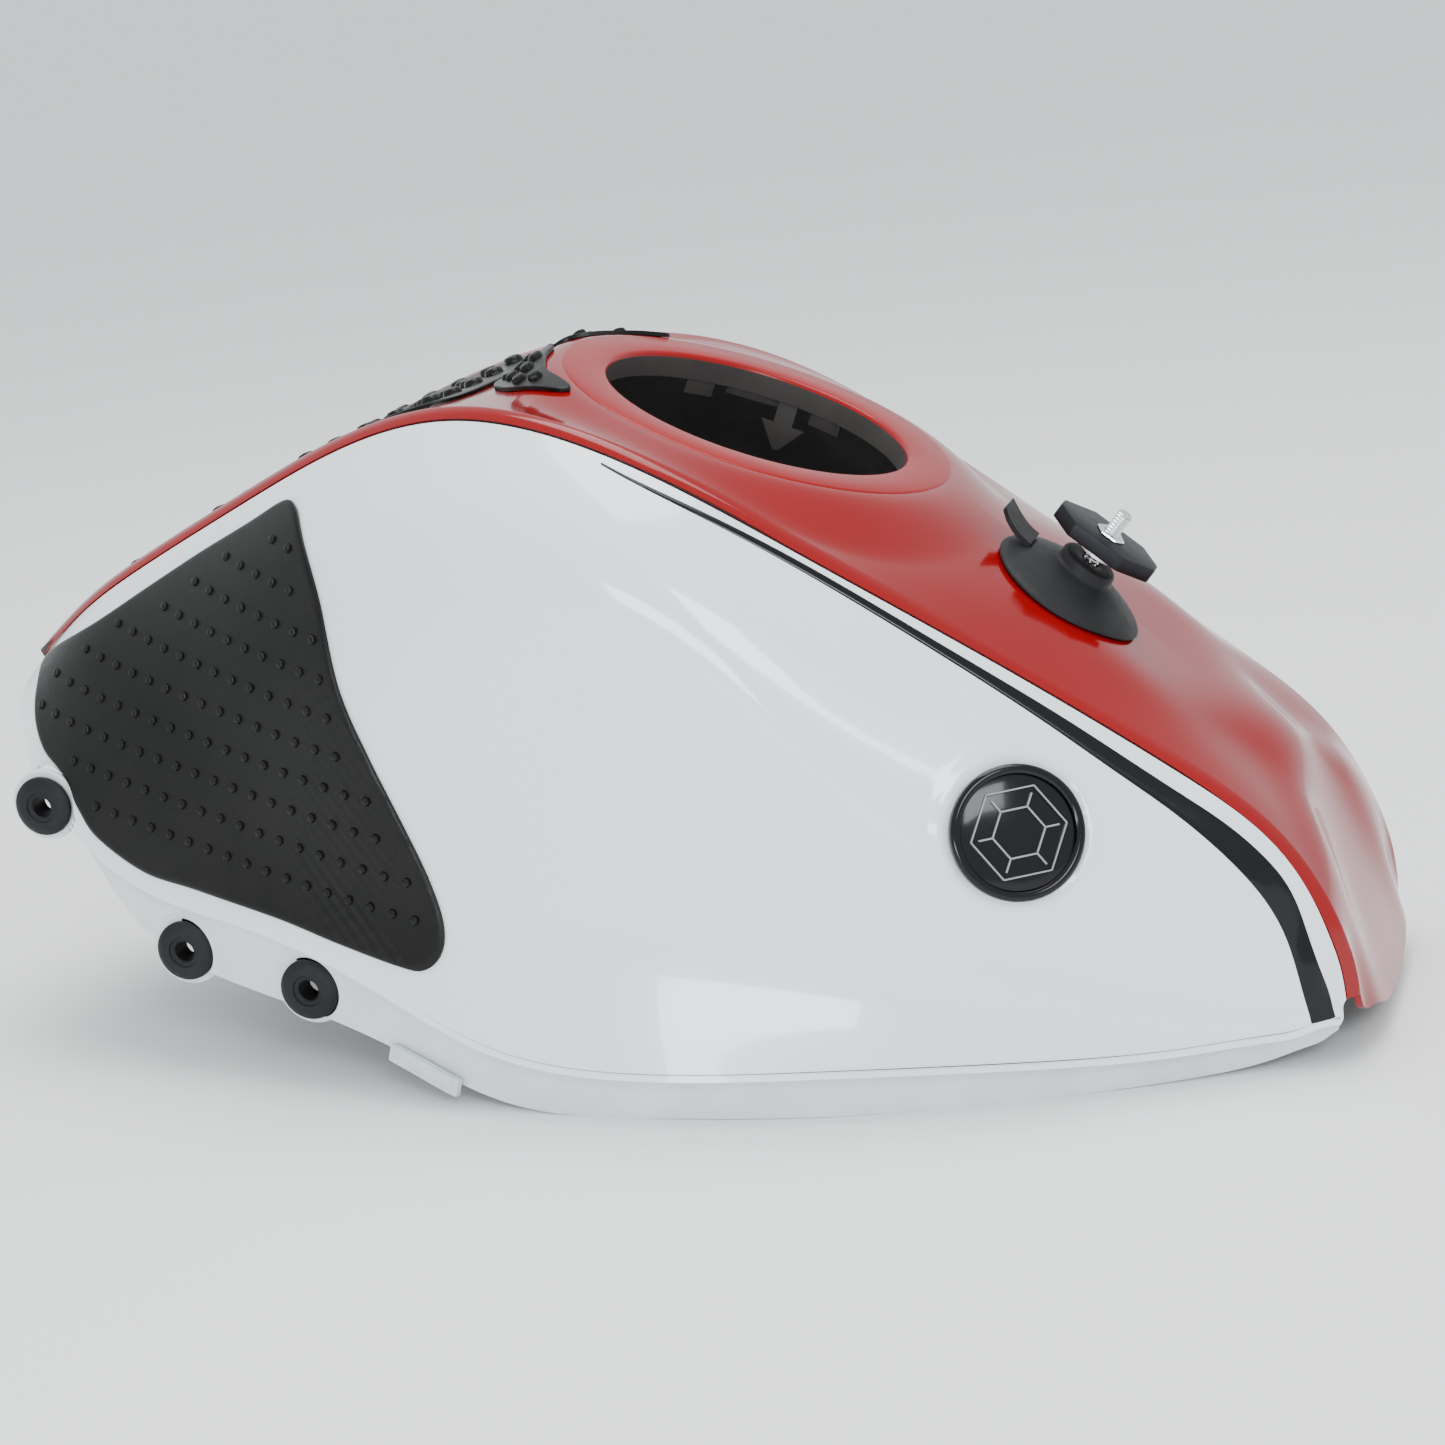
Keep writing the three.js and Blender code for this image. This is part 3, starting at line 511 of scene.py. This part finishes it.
for side in ("left", "right"):
    cover = side_build.mesh(f"side_cover_skin_{side}", cover_materials, mirror=side == "right", sharp=50)
    for line, t, down in GROMMETS.values():
        centre = grommet_centre(line, t, down)
        if side == "right":
            centre = centre * [1, -1, 1]
        if line is GROMMETS["rear"][0]:
            clear_faces(cover, centre, 13.2)
            continue
        for cutter in ((8.6, -16, 16), (12.6, 1.4, 14), (12.6, -14, -1.4)):
            cut(cover, drum(*cutter, frame_along(centre, GROMMET_AXIS), 48))
    for polygon in cover.data.polygons:
        polygon.use_smooth = True
    cover.data.set_sharp_from_angle(angle=math.radians(50))
    finish_piece(cover, "covers", "white_gloss", f"side_cover_{side}")
    for place_name, (line, t, down) in GROMMETS.items():
        ring = lug(grommet_centre(line, t, down)).mesh(
            f"grommet_lug_{place_name}_{side}", cover_materials, mirror=side == "right")
        finish_piece(ring, "covers", "white_gloss")


# ---- centre cover ------------------------------------------------------------------------------
ROLL = [(0.2, 0.15), (0.45, 0.7), (0.7, 1.7), (0.92, 3.4)]
NOSE_SMOOTHING = 140
RIM_TABS = [(127, 12, 16), (106, 22, 13), (76, 14, 15)]
collar_axis = np.array([math.sin(FILLER["pitch"]), 0, math.cos(FILLER["pitch"])])
collar_frame = frame_along((FILLER["x"], 0, FILLER["z"]), collar_axis)


def centre_rows(stations):
    half = []
    shares = np.linspace(0, 4, 66)
    nose = smoothstep(stations, 9, 12)
    for u in shares:
        half.append(centre_surface(np.full(len(stations), u), stations))
    calm = smoothstep(stations, 8.5, 10.5)[None, :, None] * 0.5
    full = np.stack(half[:0:-1] + half)
    full[:len(half) - 1] = full[:len(half) - 1] * [1, -1, 1]
    for _ in range(NOSE_SMOOTHING):
        full[1:-1] += ((full[:-2] + full[2:]) / 2 - full[1:-1]) * calm
    half = list(full[len(half) - 1:])
    rim, seam = half[-1], evaluate(seam_line, stations)
    for share, drop in ROLL:
        p = rim + (seam - rim) * share
        p[:, 1] = np.maximum(np.minimum(p[:, 1], seam[:, 1] - 0.5), 0.4)
        p[:, 2] = rim[:, 2] - (drop + 0.3) * (1 - nose) - nose * (rim[:, 2] - seam[:, 2]) * share
        half.append(p)
    half = np.stack(half)
    return np.concatenate([half[:0:-1] * [1, -1, 1], half])


centre_stations = np.concatenate([np.linspace(0, 9, 190, endpoint=False), np.linspace(9, 14, 110)])
centre_build = Build()
add_shell(centre_build, centre_rows(centre_stations), WALL)
# The centre cover's inner faces take the near-black painted shade.
centre = centre_build.mesh("centre_cover_skin", [red.material, painted_shade_inside.material], sharp=50)
cut(centre, drum(FILLER["radius"] + 0.9, -40, 40, collar_frame, 128))
centre.data.set_sharp_from_angle(angle=math.radians(50))
finish_piece(centre, "covers", "red_gloss", "centre_cover")

ring_build = Build()
radius, depth = FILLER["radius"], FILLER["depth"]
add_turned(ring_build, [[radius + WALL, -3.4], [COLLAR["radius"] - 1, -3], [COLLAR["radius"] + 0.8, -1.2],
                        [COLLAR["radius"] + 0.3, -0.4], [COLLAR["radius"] - 0.6, 0], [radius + 2, 0],
                        [radius + 1, -0.25], [radius + 0.3, -0.9], [radius, -1.8]], collar_frame, 160)
# The filler bore takes the near-black painted shade.
add_turned(ring_build, [[radius, -1.8], [radius, -depth], [radius + WALL, -depth], [radius + WALL, -3.4]],
           collar_frame, 160, 1)
ring = ring_build.mesh("filler_ring", [red_ring.material, painted_shade_inside.material])
finish_piece(ring, "covers", "red_gloss")


def plate(name, outline, thickness, matrix, materials, bevel=0.4):
    """A flat plate with eased edges from an [x, y] outline, standing on the matrix's XY plane."""
    bm = bmesh.new()
    face = bm.faces.new([bm.verts.new((x * MM, y * MM, 0)) for x, y in outline])
    extruded = bmesh.ops.extrude_face_region(bm, geom=[face])["geom"]
    raised = [v for v in extruded if isinstance(v, bmesh.types.BMVert)]
    bmesh.ops.translate(bm, vec=(0, 0, thickness * MM), verts=raised)
    bmesh.ops.recalc_face_normals(bm, faces=bm.faces)
    bmesh.ops.bevel(bm, geom=list(bm.edges), offset=bevel * MM, segments=2, profile=0.6, affect="EDGES")
    local = Matrix.Translation(Vector(matrix.translation) * MM) @ matrix.to_3x3().to_4x4()
    bmesh.ops.transform(bm, matrix=local, verts=bm.verts)
    data = bpy.data.meshes.new(name)
    bm.to_mesh(data)
    bm.free()
    obj = bpy.data.objects.new(name, data)
    bpy.context.scene.collection.objects.link(obj)
    for material in materials:
        data.materials.append(material)
    data.polygons.foreach_set("use_smooth", [True] * len(data.polygons))
    data.set_sharp_from_angle(angle=math.radians(40))
    return obj


def rim_place(angle, out):
    """A frame under the filler rim: X along the rim, Y down, Z outwards."""
    a = math.radians(angle)
    radial = Vector((math.cos(a), math.sin(a), 0))
    down = Vector((0, 0, -1))
    along = down.cross(radial)
    turn = Matrix((along, down, radial)).transposed().to_4x4()
    return collar_frame @ Matrix.Translation(radial * out) @ turn


# The rim tabs and the snap hook are drawn near-black as painted shade.
for i, (angle, width, drop) in enumerate(RIM_TABS):
    outline = [[-width / 2, 5], [width / 2, 5], [width / 2, drop], [-width / 2, drop]]
    tab = plate(f"rim_tab_{i}", outline, 2.0, rim_place(angle, radius + 0.4), [painted_shade_inside.material])
    finish_piece(tab, "covers", "red_gloss")
hook_outline = [[-4, 6], [4, 6], [4, 19], [9, 19], [1.2, 29.5], [-1.2, 29.5], [-9, 19], [-4, 19]]
hook = plate("snap_hook", hook_outline, 2.6, rim_place(92, radius + 0.4), [painted_shade_inside.material])
finish_piece(hook, "covers", "red_gloss")


# ---- skins: pads and stripes -------------------------------------------------------------------
def closed_outline(points, count):
    """Evenly spaced points on a closed Catmull-Rom curve through an outline."""
    p = np.array(points, float)
    n = len(p)
    fine = []
    for i in range(n):
        a, b, c, d = p[i - 1], p[i], p[(i + 1) % n], p[(i + 2) % n]
        for s in np.linspace(0, 1, 24, endpoint=False):
            fine.append(0.5 * (2 * b + (c - a) * s + (2 * a - 5 * b + 4 * c - d) * s**2
                               + (3 * b - a - 3 * c + d) * s**3))
    fine = np.array(fine + fine[:1])
    length = np.r_[0, np.cumsum(np.linalg.norm(np.diff(fine, axis=0), axis=1))]
    at = np.linspace(0, length[-1], count, endpoint=False)
    return np.c_[np.interp(at, length, fine[:, 0]), np.interp(at, length, fine[:, 1])]


def inside_outline(points, outline):
    x, y = points[:, 0], points[:, 1]
    result = np.zeros(len(points), bool)
    for (x0, y0), (x1, y1) in zip(outline, np.roll(outline, -1, axis=0)):
        crosses = (y0 > y) != (y1 > y)
        cut_x = x0 + (y - y0) * (x1 - x0) / np.where(y1 == y0, 1e-9, y1 - y0)
        result ^= crosses & (x < cut_x)
    return result


def edge_distance(points, outline):
    best = np.full(len(points), 1e9)
    for a, b in zip(outline, np.roll(outline, -1, axis=0)):
        ab = b - a
        s = np.clip(((points - a) @ ab) / max(ab @ ab, 1e-9), 0, 1)
        best = np.minimum(best, np.linalg.norm(points - a - s[:, None] * ab, axis=1))
    return best


def add_pad(build, outline, centre_point, on_surface, rings, ripple=None):
    """A rubber skin with rounded edges: rings of points shrink from the outline to a centre."""
    n = len(outline)
    shares = np.r_[1.0, 1.0, 0.992, 0.98, np.linspace(0.96, 0.04, rings)]
    lifts = np.r_[PAD_LIFT, 1.3, 1.75, PAD_LIFT + PAD_THICKNESS, np.full(rings, PAD_LIFT + PAD_THICKNESS)]
    flat = np.concatenate([centre_point + (outline - centre_point) * s for s in shares])
    lift = np.repeat(lifts, n)
    if ripple is not None:
        lift = lift + ripple(flat) * (lift > 1.85)
    points, _ = on_surface(flat, lift)
    faces = quads(len(shares), n, wrap=True)
    base = len(build.vertices)
    build.add(points, faces)
    build.vertices.append(points[-n:].mean(0).tolist())
    last = base + (len(shares) - 1) * n
    middle = base + len(points)
    build.faces.extend([[last + k, last + (k + 1) % n, middle] for k in range(n)])
    build.numbers.extend([0] * n)


def add_studs(build, flat, on_surface, size, height, sides=6):
    """Small domed studs standing on the pad."""
    points, normal = on_surface(flat, PAD_LIFT + PAD_THICKNESS - 0.1)
    profile = [(1.0, 0.0), (0.94, 0.55), (0.74, 0.88), (0.4, 1.0)]
    for p, n in zip(points, normal):
        across = np.cross(n, [0.3, 0.1, 1.0])
        across /= np.linalg.norm(across)
        other = np.cross(n, across)
        vertices = []
        for share, rise in profile:
            for k in range(sides):
                a = 2 * math.pi * k / sides
                radial = (across * math.cos(a) + other * math.sin(a)) * size / 2 * share
                vertices.append(p + radial + n * height * rise)
        faces = quads(len(profile), sides, wrap=True)
        faces.append([(len(profile) - 1) * sides + k for k in range(sides)])
        build.add(vertices, [face[::-1] for face in faces])


def stud_grid(outline, pitch, gap, angle, margin, stagger=0.5):
    a = math.radians(angle)
    along, across = np.array([math.cos(a), math.sin(a)]), np.array([-math.sin(a), math.cos(a)])
    middle = outline.mean(0)
    spots = []
    for i in range(-40, 41):
        for j in range(-40, 41):
            spots.append(middle + along * pitch * (i + stagger * (j % 2)) + across * gap * j)
    spots = np.array(spots)
    spots = spots[inside_outline(spots, outline)]
    return spots[edge_distance(spots, outline) > margin]


def orient(obj):
    """Makes a closed or nearly closed mesh face outwards."""
    bm = bmesh.new()
    bm.from_mesh(obj.data)
    bmesh.ops.recalc_face_normals(bm, faces=bm.faces)
    bm.to_mesh(obj.data)
    bm.free()
    return obj


def ripple_front(flat):
    """The pad's film is slightly crumpled towards its front edge."""
    near = smoothstep(flat[:, 0], -130, -85)
    return near * 0.25 * (np.sin(flat[:, 1] * 0.9 + flat[:, 0] * 0.35) * np.sin(flat[:, 0] * 0.8))


knee_outline = closed_outline(KNEE_PAD, 220)
knee_centre = np.array([-160.0, 138.0])
knee_build = Build()
add_pad(knee_build, knee_outline, knee_centre, on_side, 34, ripple_front)
add_studs(knee_build, stud_grid(knee_outline, 9.6, 13.5, -12, 5.5), on_side, 4.0, 1.3)
for side in ("left", "right"):
    pad = orient(knee_build.mesh(f"knee_pad_skin_{side}", [grip.material], mirror=side == "right"))
    rear = grommet_centre(*GROMMETS["rear"]) * [1, -1 if side == "right" else 1, 1]
    cut(pad, drum(15.2, -60, 60, frame_along(rear, GROMMET_AXIS), 48))
    finish_piece(pad, "covers", "grip_rubber", f"knee_pad_{side}")

tail_half = closed_outline(CENTRE_PAD + [[x, -y] for x, y in CENTRE_PAD[-2::-1]], 260)
centre_pad_build = Build()
add_pad(centre_pad_build, tail_half, np.array([-130.0, 0.0]), on_centre, 26)
add_studs(centre_pad_build, stud_grid(tail_half, 13.0, 11.0, 0, 6), on_centre, 8.0, 2.6, 8)
pad = orient(centre_pad_build.mesh("centre_pad_skin", [grip.material]))
finish_piece(pad, "covers", "grip_rubber", "centre_pad")

for side, sign in (("left", 1), ("right", -1)):
    wing_outline = closed_outline([[x, y * sign] for x, y in WING], 120)
    wing_build = Build()
    add_pad(wing_build, wing_outline, wing_outline.mean(0), on_centre, 14)
    add_studs(wing_build, stud_grid(wing_outline, 9.0, 8.0, 30 * sign, 3.6), on_centre, 6.0, 2.2, 8)
    pad = orient(wing_build.mesh(f"pad_wing_skin_{side}", [grip.material]))
    finish_piece(pad, "covers", "grip_rubber", f"pad_wing_{side}")

stripe_build = Build()
steps = np.linspace(0, len(STRIPE_TOP) - 1, 260)
flat_top = evaluate(spline([[x, z, 0] for x, z in STRIPE_TOP]), steps)[:, :2]
flat_bottom = evaluate(spline([[x, z, 0] for x, z in STRIPE_BOTTOM]), steps)[:, :2]
across_shares = np.linspace(0, 1, 7)
lifts = [0.05, 0.3, 0.34, 0.34, 0.34, 0.3, 0.05]
stripe_points = [on_side(flat_top + (flat_bottom - flat_top) * s, lift)[0]
                 for s, lift in zip(across_shares, lifts)]
stripe_build.add(np.concatenate(stripe_points), quads(7, len(steps)))
for side in ("left", "right"):
    stripe = stripe_build.mesh(f"stripe_film_{side}", [gloss.material], mirror=side == "right")
    finish_piece(stripe, "covers", "black_gloss", f"stripe_{side}")


# ---- badges, grommets, edge strips -------------------------------------------------------------
bezel_build = Build()
add_turned(bezel_build, [[20.2, 1.6], [20.6, 3.6], [21.4, 4.1], [22.6, 4.1], [23.5, 3.5], [23.9, 2.6],
                         [23.9, 0.0], [20.2, 0.0]], badge_frame, 96, closed=True)
disc_build = Build()
add_turned(disc_build, [[0.001, 3.9], [5, 3.85], [10, 3.6], [15, 3.2], [18, 2.8], [20.2, 2.3], [20.2, 1.0],
                        [0.001, 1.0]], badge_frame, 96)
relief_build = Build()


def relief_bar(build, ends, width, low=2.4, high=4.5):
    """A raised bar of the badge's relief between two [x, y] points on the disc."""
    a, b = np.array(ends[0], float), np.array(ends[1], float)
    along = (b - a) / np.linalg.norm(b - a)
    side_step = np.array([-along[1], along[0]]) * width / 2
    corners = [a - side_step, b - side_step, b + side_step, a + side_step]
    inner = [a + (c - a) * 0.7 if i in (0, 3) else b + (c - b) * 0.7 for i, c in enumerate(corners)]
    vertices = [[*c, low] for c in corners] + [[*c, high] for c in inner]
    faces = [[4, 5, 6, 7], [0, 1, 5, 4], [1, 2, 6, 5], [2, 3, 7, 6], [3, 0, 4, 7]]
    build.add(place(np.array(vertices), badge_frame), faces)


def hexagon_corner(radius_at, k):
    a = math.radians(60 * k + 30)
    return [radius_at * math.cos(a), radius_at * math.sin(a)]


OUTER_HEXAGON, INNER_HEXAGON, SPOKE_END = 17.2, 9.5, 14.5
for radius_at, width in ((OUTER_HEXAGON, 0.7), (INNER_HEXAGON, 0.8)):
    corners = [hexagon_corner(radius_at, k) for k in range(7)]
    for pair in zip(corners, corners[1:]):
        relief_bar(relief_build, pair, width)
for k in range(6):
    relief_bar(relief_build, (hexagon_corner(INNER_HEXAGON, k), hexagon_corner(SPOKE_END, k)), 0.8)

GROMMET_PROFILE = [[4.0, -5.2], [4.5, -6.0], [8.6, -6.0], [10.6, -5.2], [11.8, -4.2], [12.0, -3.0],
                   [11.6, -1.9], [8.2, -1.75], [8.2, 1.75], [11.6, 1.9], [12.0, 3.0], [11.8, 4.2],
                   [10.6, 5.2], [8.6, 6.0],
                   [6.2, 6.0], [5.9, 5.4], [4.6, 5.4], [4.0, 4.8]]
strip_run = (evaluate(flange_line, 4.53) - evaluate(flange_line, 4.13))[0]
strip_run /= np.linalg.norm(strip_run)
strip_out = np.array([-strip_run[1], strip_run[0], 0.0])
strip_out /= np.linalg.norm(strip_out)
strip_centre = evaluate(flange_line, 4.33)[0] + strip_out * 2.6
STRIP_SECTION = [(-1.1, -1.0), (-1.0, -0.9), (1.0, -0.9), (1.1, -0.7), (1.1, 0.7), (1.0, 0.9), (-1.0, 0.9),
                 (-1.1, 0.7)]

for side in ("left", "right"):
    mirror = side == "right"
    bezel = orient(bezel_build.mesh(f"badge_bezel_ring_{side}", [gloss.material], mirror=mirror))
    finish_piece(bezel, "covers", "black_gloss", f"badge_bezel_{side}")
    disc = orient(disc_build.mesh(f"badge_dome_{side}", [gloss.material], mirror=mirror))
    finish_piece(disc, "covers", "black_gloss", f"badge_disc_{side}")
    mark = orient(relief_build.mesh(f"badge_relief_{side}", [relief.material], mirror=mirror, sharp=20))
    finish_piece(mark, "covers", "black_gloss")
    for name, spot in GROMMETS.items():
        build = Build()
        add_turned(build, GROMMET_PROFILE, frame_along(grommet_centre(*spot), GROMMET_AXIS), 72, closed=True)
        grommet = orient(build.mesh(f"grommet_rubber_{name}_{side}", [soft.material], mirror=mirror))
        finish_piece(grommet, "covers", "soft_rubber", f"grommet_{name}_{side}")
    build = Build()
    rows = []
    for s in np.linspace(-1, 1, 30):
        taper = 1 - 0.08 * s**8
        half_height = 4.0 * taper
        bow = 0.35 * math.sin(2.3 * s)
        centre_at = strip_centre + strip_run * 16.5 * s + strip_out * bow
        up = np.cross(strip_run, strip_out)
        rows.append([centre_at + strip_out * o * 1.05 + up * v * half_height for o, v in STRIP_SECTION])
    rows = np.array(rows)
    corners = len(STRIP_SECTION)
    ends = [list(range(corners)), [len(rows) * corners - 1 - k for k in range(corners)]]
    build.add(rows.reshape(-1, 3), quads(len(rows), corners, wrap=True) + ends)
    strip = orient(build.mesh(f"edge_strip_foam_{side}", [foam.material], mirror=mirror))
    finish_piece(strip, "covers", "pale_foam", f"edge_strip_{side}")


# ---- suction mount -----------------------------------------------------------------------------
cup_point, cup_normal = on_centre([[CUP["x"], CUP["y"]]])
cup_frame = frame_along(cup_point[0], cup_normal[0])
cup_inverse = cup_frame.inverted()


def settle(ring):
    """Bends the cup's thin lip down onto the cover under it."""
    flat = ring.reshape(-1, 3)
    world = place(np.c_[flat[:, :2], np.zeros(len(flat))], cup_frame)
    skin, _ = on_centre(world[:, :2])
    sag = place(skin, cup_inverse)[:, 2]
    share = smoothstep(np.hypot(flat[:, 0], flat[:, 1]), 9, 24)
    flat[:, 2] += np.minimum(sag, 0) * share
    return flat.reshape(ring.shape)


cup_build = Build()
add_turned(cup_build, [[0.001, 0.9], [14, 0.9], [22, 0.9], [29.4, 0.7], [29.9, 0.9], [30.0, 1.4], [29.4, 2.0],
                       [27, 2.8],
                       [24, 3.9], [20, 5.2], [17, 6.4], [14, 7.4], [12.6, 8.0], [11.4, 8.6], [11.0, 9.4],
                       [11.0, 11.6], [10.6, 12.4], [9.6, 13.0], [4.0, 13.0], [3.4, 12.4]], cup_frame, 96,
           shape=settle)
cup = orient(cup_build.mesh("suction_cup_rubber", [soft.material], sharp=60))
finish_piece(cup, "covers", "soft_rubber", "suction_cup")
tab_rows = []
for s in np.linspace(0, 1, 14):
    bend = 5.5 * s**2
    half_width = 7.5 - 1.2 * smoothstep(s, 0.75, 1.0)
    along, near, far = -21 - 15.5 * s, 5 - half_width, 5 + half_width
    tab_rows.append([[along, near, 3.0 + bend], [along, far, 3.0 + bend],
                     [along, far, 5.0 + bend], [along, near, 5.0 + bend]])
tab_build = Build()
tab_build.add(place(np.array(tab_rows).reshape(-1, 3), cup_frame),
              quads(14, 4, wrap=True) + [[0, 1, 2, 3], [55, 54, 53, 52]])
pull_tab = orient(tab_build.mesh("suction_cup_pull_tab", [soft.material]))
finish_piece(pull_tab, "covers", "soft_rubber")

PITCH = 1.27
turns = np.arange(9, 34.4, PITCH / 8)
angle = np.linspace(0, 2 * math.pi, 40, endpoint=False)
phase = (turns[:, None] / PITCH - angle[None, :] / (2 * math.pi)) % 1
thread = 3.0 - 0.62 * np.abs(2 * phase - 1) * (1 - smoothstep(turns, 33.6, 34.4))[:, None]
heights = np.repeat(turns[:, None], len(angle), axis=1)
thread_points = np.stack([thread * np.cos(angle), thread * np.sin(angle), heights], -1)
stud_build = Build()
stud_build.add(place(thread_points.reshape(-1, 3), cup_frame), quads(len(turns), 40, wrap=True))
add_turned(stud_build, [[2.95, 34.3], [2.3, 35.0], [0.001, 35.0]], cup_frame, 40)
stud = orient(stud_build.mesh("stud_thread", [steel.material], sharp=50))
finish_piece(stud, "covers", "bright_steel", "threaded_stud")

washer_build = Build()
add_turned(washer_build, [[3.4, 16.7], [3.6, 16.5], [7.7, 16.5], [8.0, 16.8], [8.0, 18.2], [7.7, 18.5],
                          [3.6, 18.5], [3.4, 18.3]], cup_frame, 64, closed=True)
washer = orient(washer_build.mesh("washer_disc", [steel.material]))
finish_piece(washer, "washer", "bright_steel", "nut_washer")

THUMB_OUTLINE = [[-0.5, -0.16], [-0.3, -0.5], [0.22, -0.5], [0.5, -0.1],
                 [0.5, 0.16], [0.3, 0.5], [-0.22, 0.5], [-0.5, 0.1]]
thumb = plate("thumb_plate_body", [[x * 41.6, y * 24.6] for x, y in THUMB_OUTLINE], 5.9,
              cup_frame @ Matrix.Translation((0, 0, 19.05)), [black_metal.material], bevel=0.9)
cut(thumb, drum(3.35, 10, 40, cup_frame, 40))
thumb.data.set_sharp_from_angle(angle=math.radians(40))
finish_piece(thumb, "thumb_nut", "black_metal", "thumb_plate")
nut_build = Build()
add_turned(nut_build, [[3.3, 25.0], [5.6, 25.0], [5.9, 25.4], [5.6, 25.9], [3.5, 26.1], [3.3, 25.9]],
           cup_frame, 6, closed=True)
collar_nut = orient(nut_build.mesh("thumb_plate_insert", [steel.material]))
finish_piece(collar_nut, "thumb_nut", "bright_steel")


# ---- floor, light and camera -------------------------------------------------------------------
floor_data = bpy.data.meshes.new("floor")
floor_data.from_pydata([(-40, -40, 0), (40, -40, 0), (40, 40, 0), (-40, 40, 0)], [], [(0, 1, 2, 3)])
floor = bpy.data.objects.new("floor", floor_data)
bpy.context.scene.collection.objects.link(floor)
paper = Look("paper", (0.93, 0.93, 0.93), 0.9).vary_colour(2, 0.995, 1.0)
floor_data.materials.append(paper.material)

world = bpy.data.worlds.new("studio")
bpy.context.scene.world = world
world.use_nodes = True
world.node_tree.nodes["Background"].inputs["Color"].default_value = (0.93, 0.97, 1.0, 1)
world.node_tree.nodes["Background"].inputs["Strength"].default_value = 1.15


def area_light(name, location, target, size, power, colour=(1, 1, 1)):
    data = bpy.data.lights.new(name, "AREA")
    data.shape = "RECTANGLE"
    data.size, data.size_y = size
    data.energy = power
    data.color = colour
    obj = bpy.data.objects.new(name, data)
    obj.location = location
    obj.rotation_euler = (Vector(target) - Vector(location)).to_track_quat("-Z", "Y").to_euler()
    bpy.context.scene.collection.objects.link(obj)


area_light("overhead", (0.1, 0.1, 1.9), (0, 0, 0.1), (1.6, 1.0), 30)
area_light("window_front", (0.9, -1.6, 1.1), (0.1, 0, 0.12), (0.7, 0.5), 14, (0.95, 0.98, 1))
area_light("window_low", (-0.1, -1.8, 0.35), (0.0, 0, 0.1), (0.9, 0.25), 9, (0.95, 0.98, 1))

# The camera's own axes: right, up and back, as seen over the right side from a little ahead.
CAMERA_RIGHT = (0.95016, 0.29237, -0.10826)
CAMERA_UP = (0.02495, 0.27480, 0.96118)
CAMERA_BACK = (0.31077, -0.91597, 0.25381)
camera_data = bpy.data.cameras.new("camera")
camera_data.sensor_width = 36
camera_data.lens = 79.72
camera = bpy.data.objects.new("camera", camera_data)
bpy.context.scene.collection.objects.link(camera)
turn = Matrix((CAMERA_RIGHT, CAMERA_UP, CAMERA_BACK)).transposed().to_4x4()
camera.matrix_world = Matrix.Translation((0.40491, -1.14038, 0.42849)) @ turn
bpy.context.scene.camera = camera
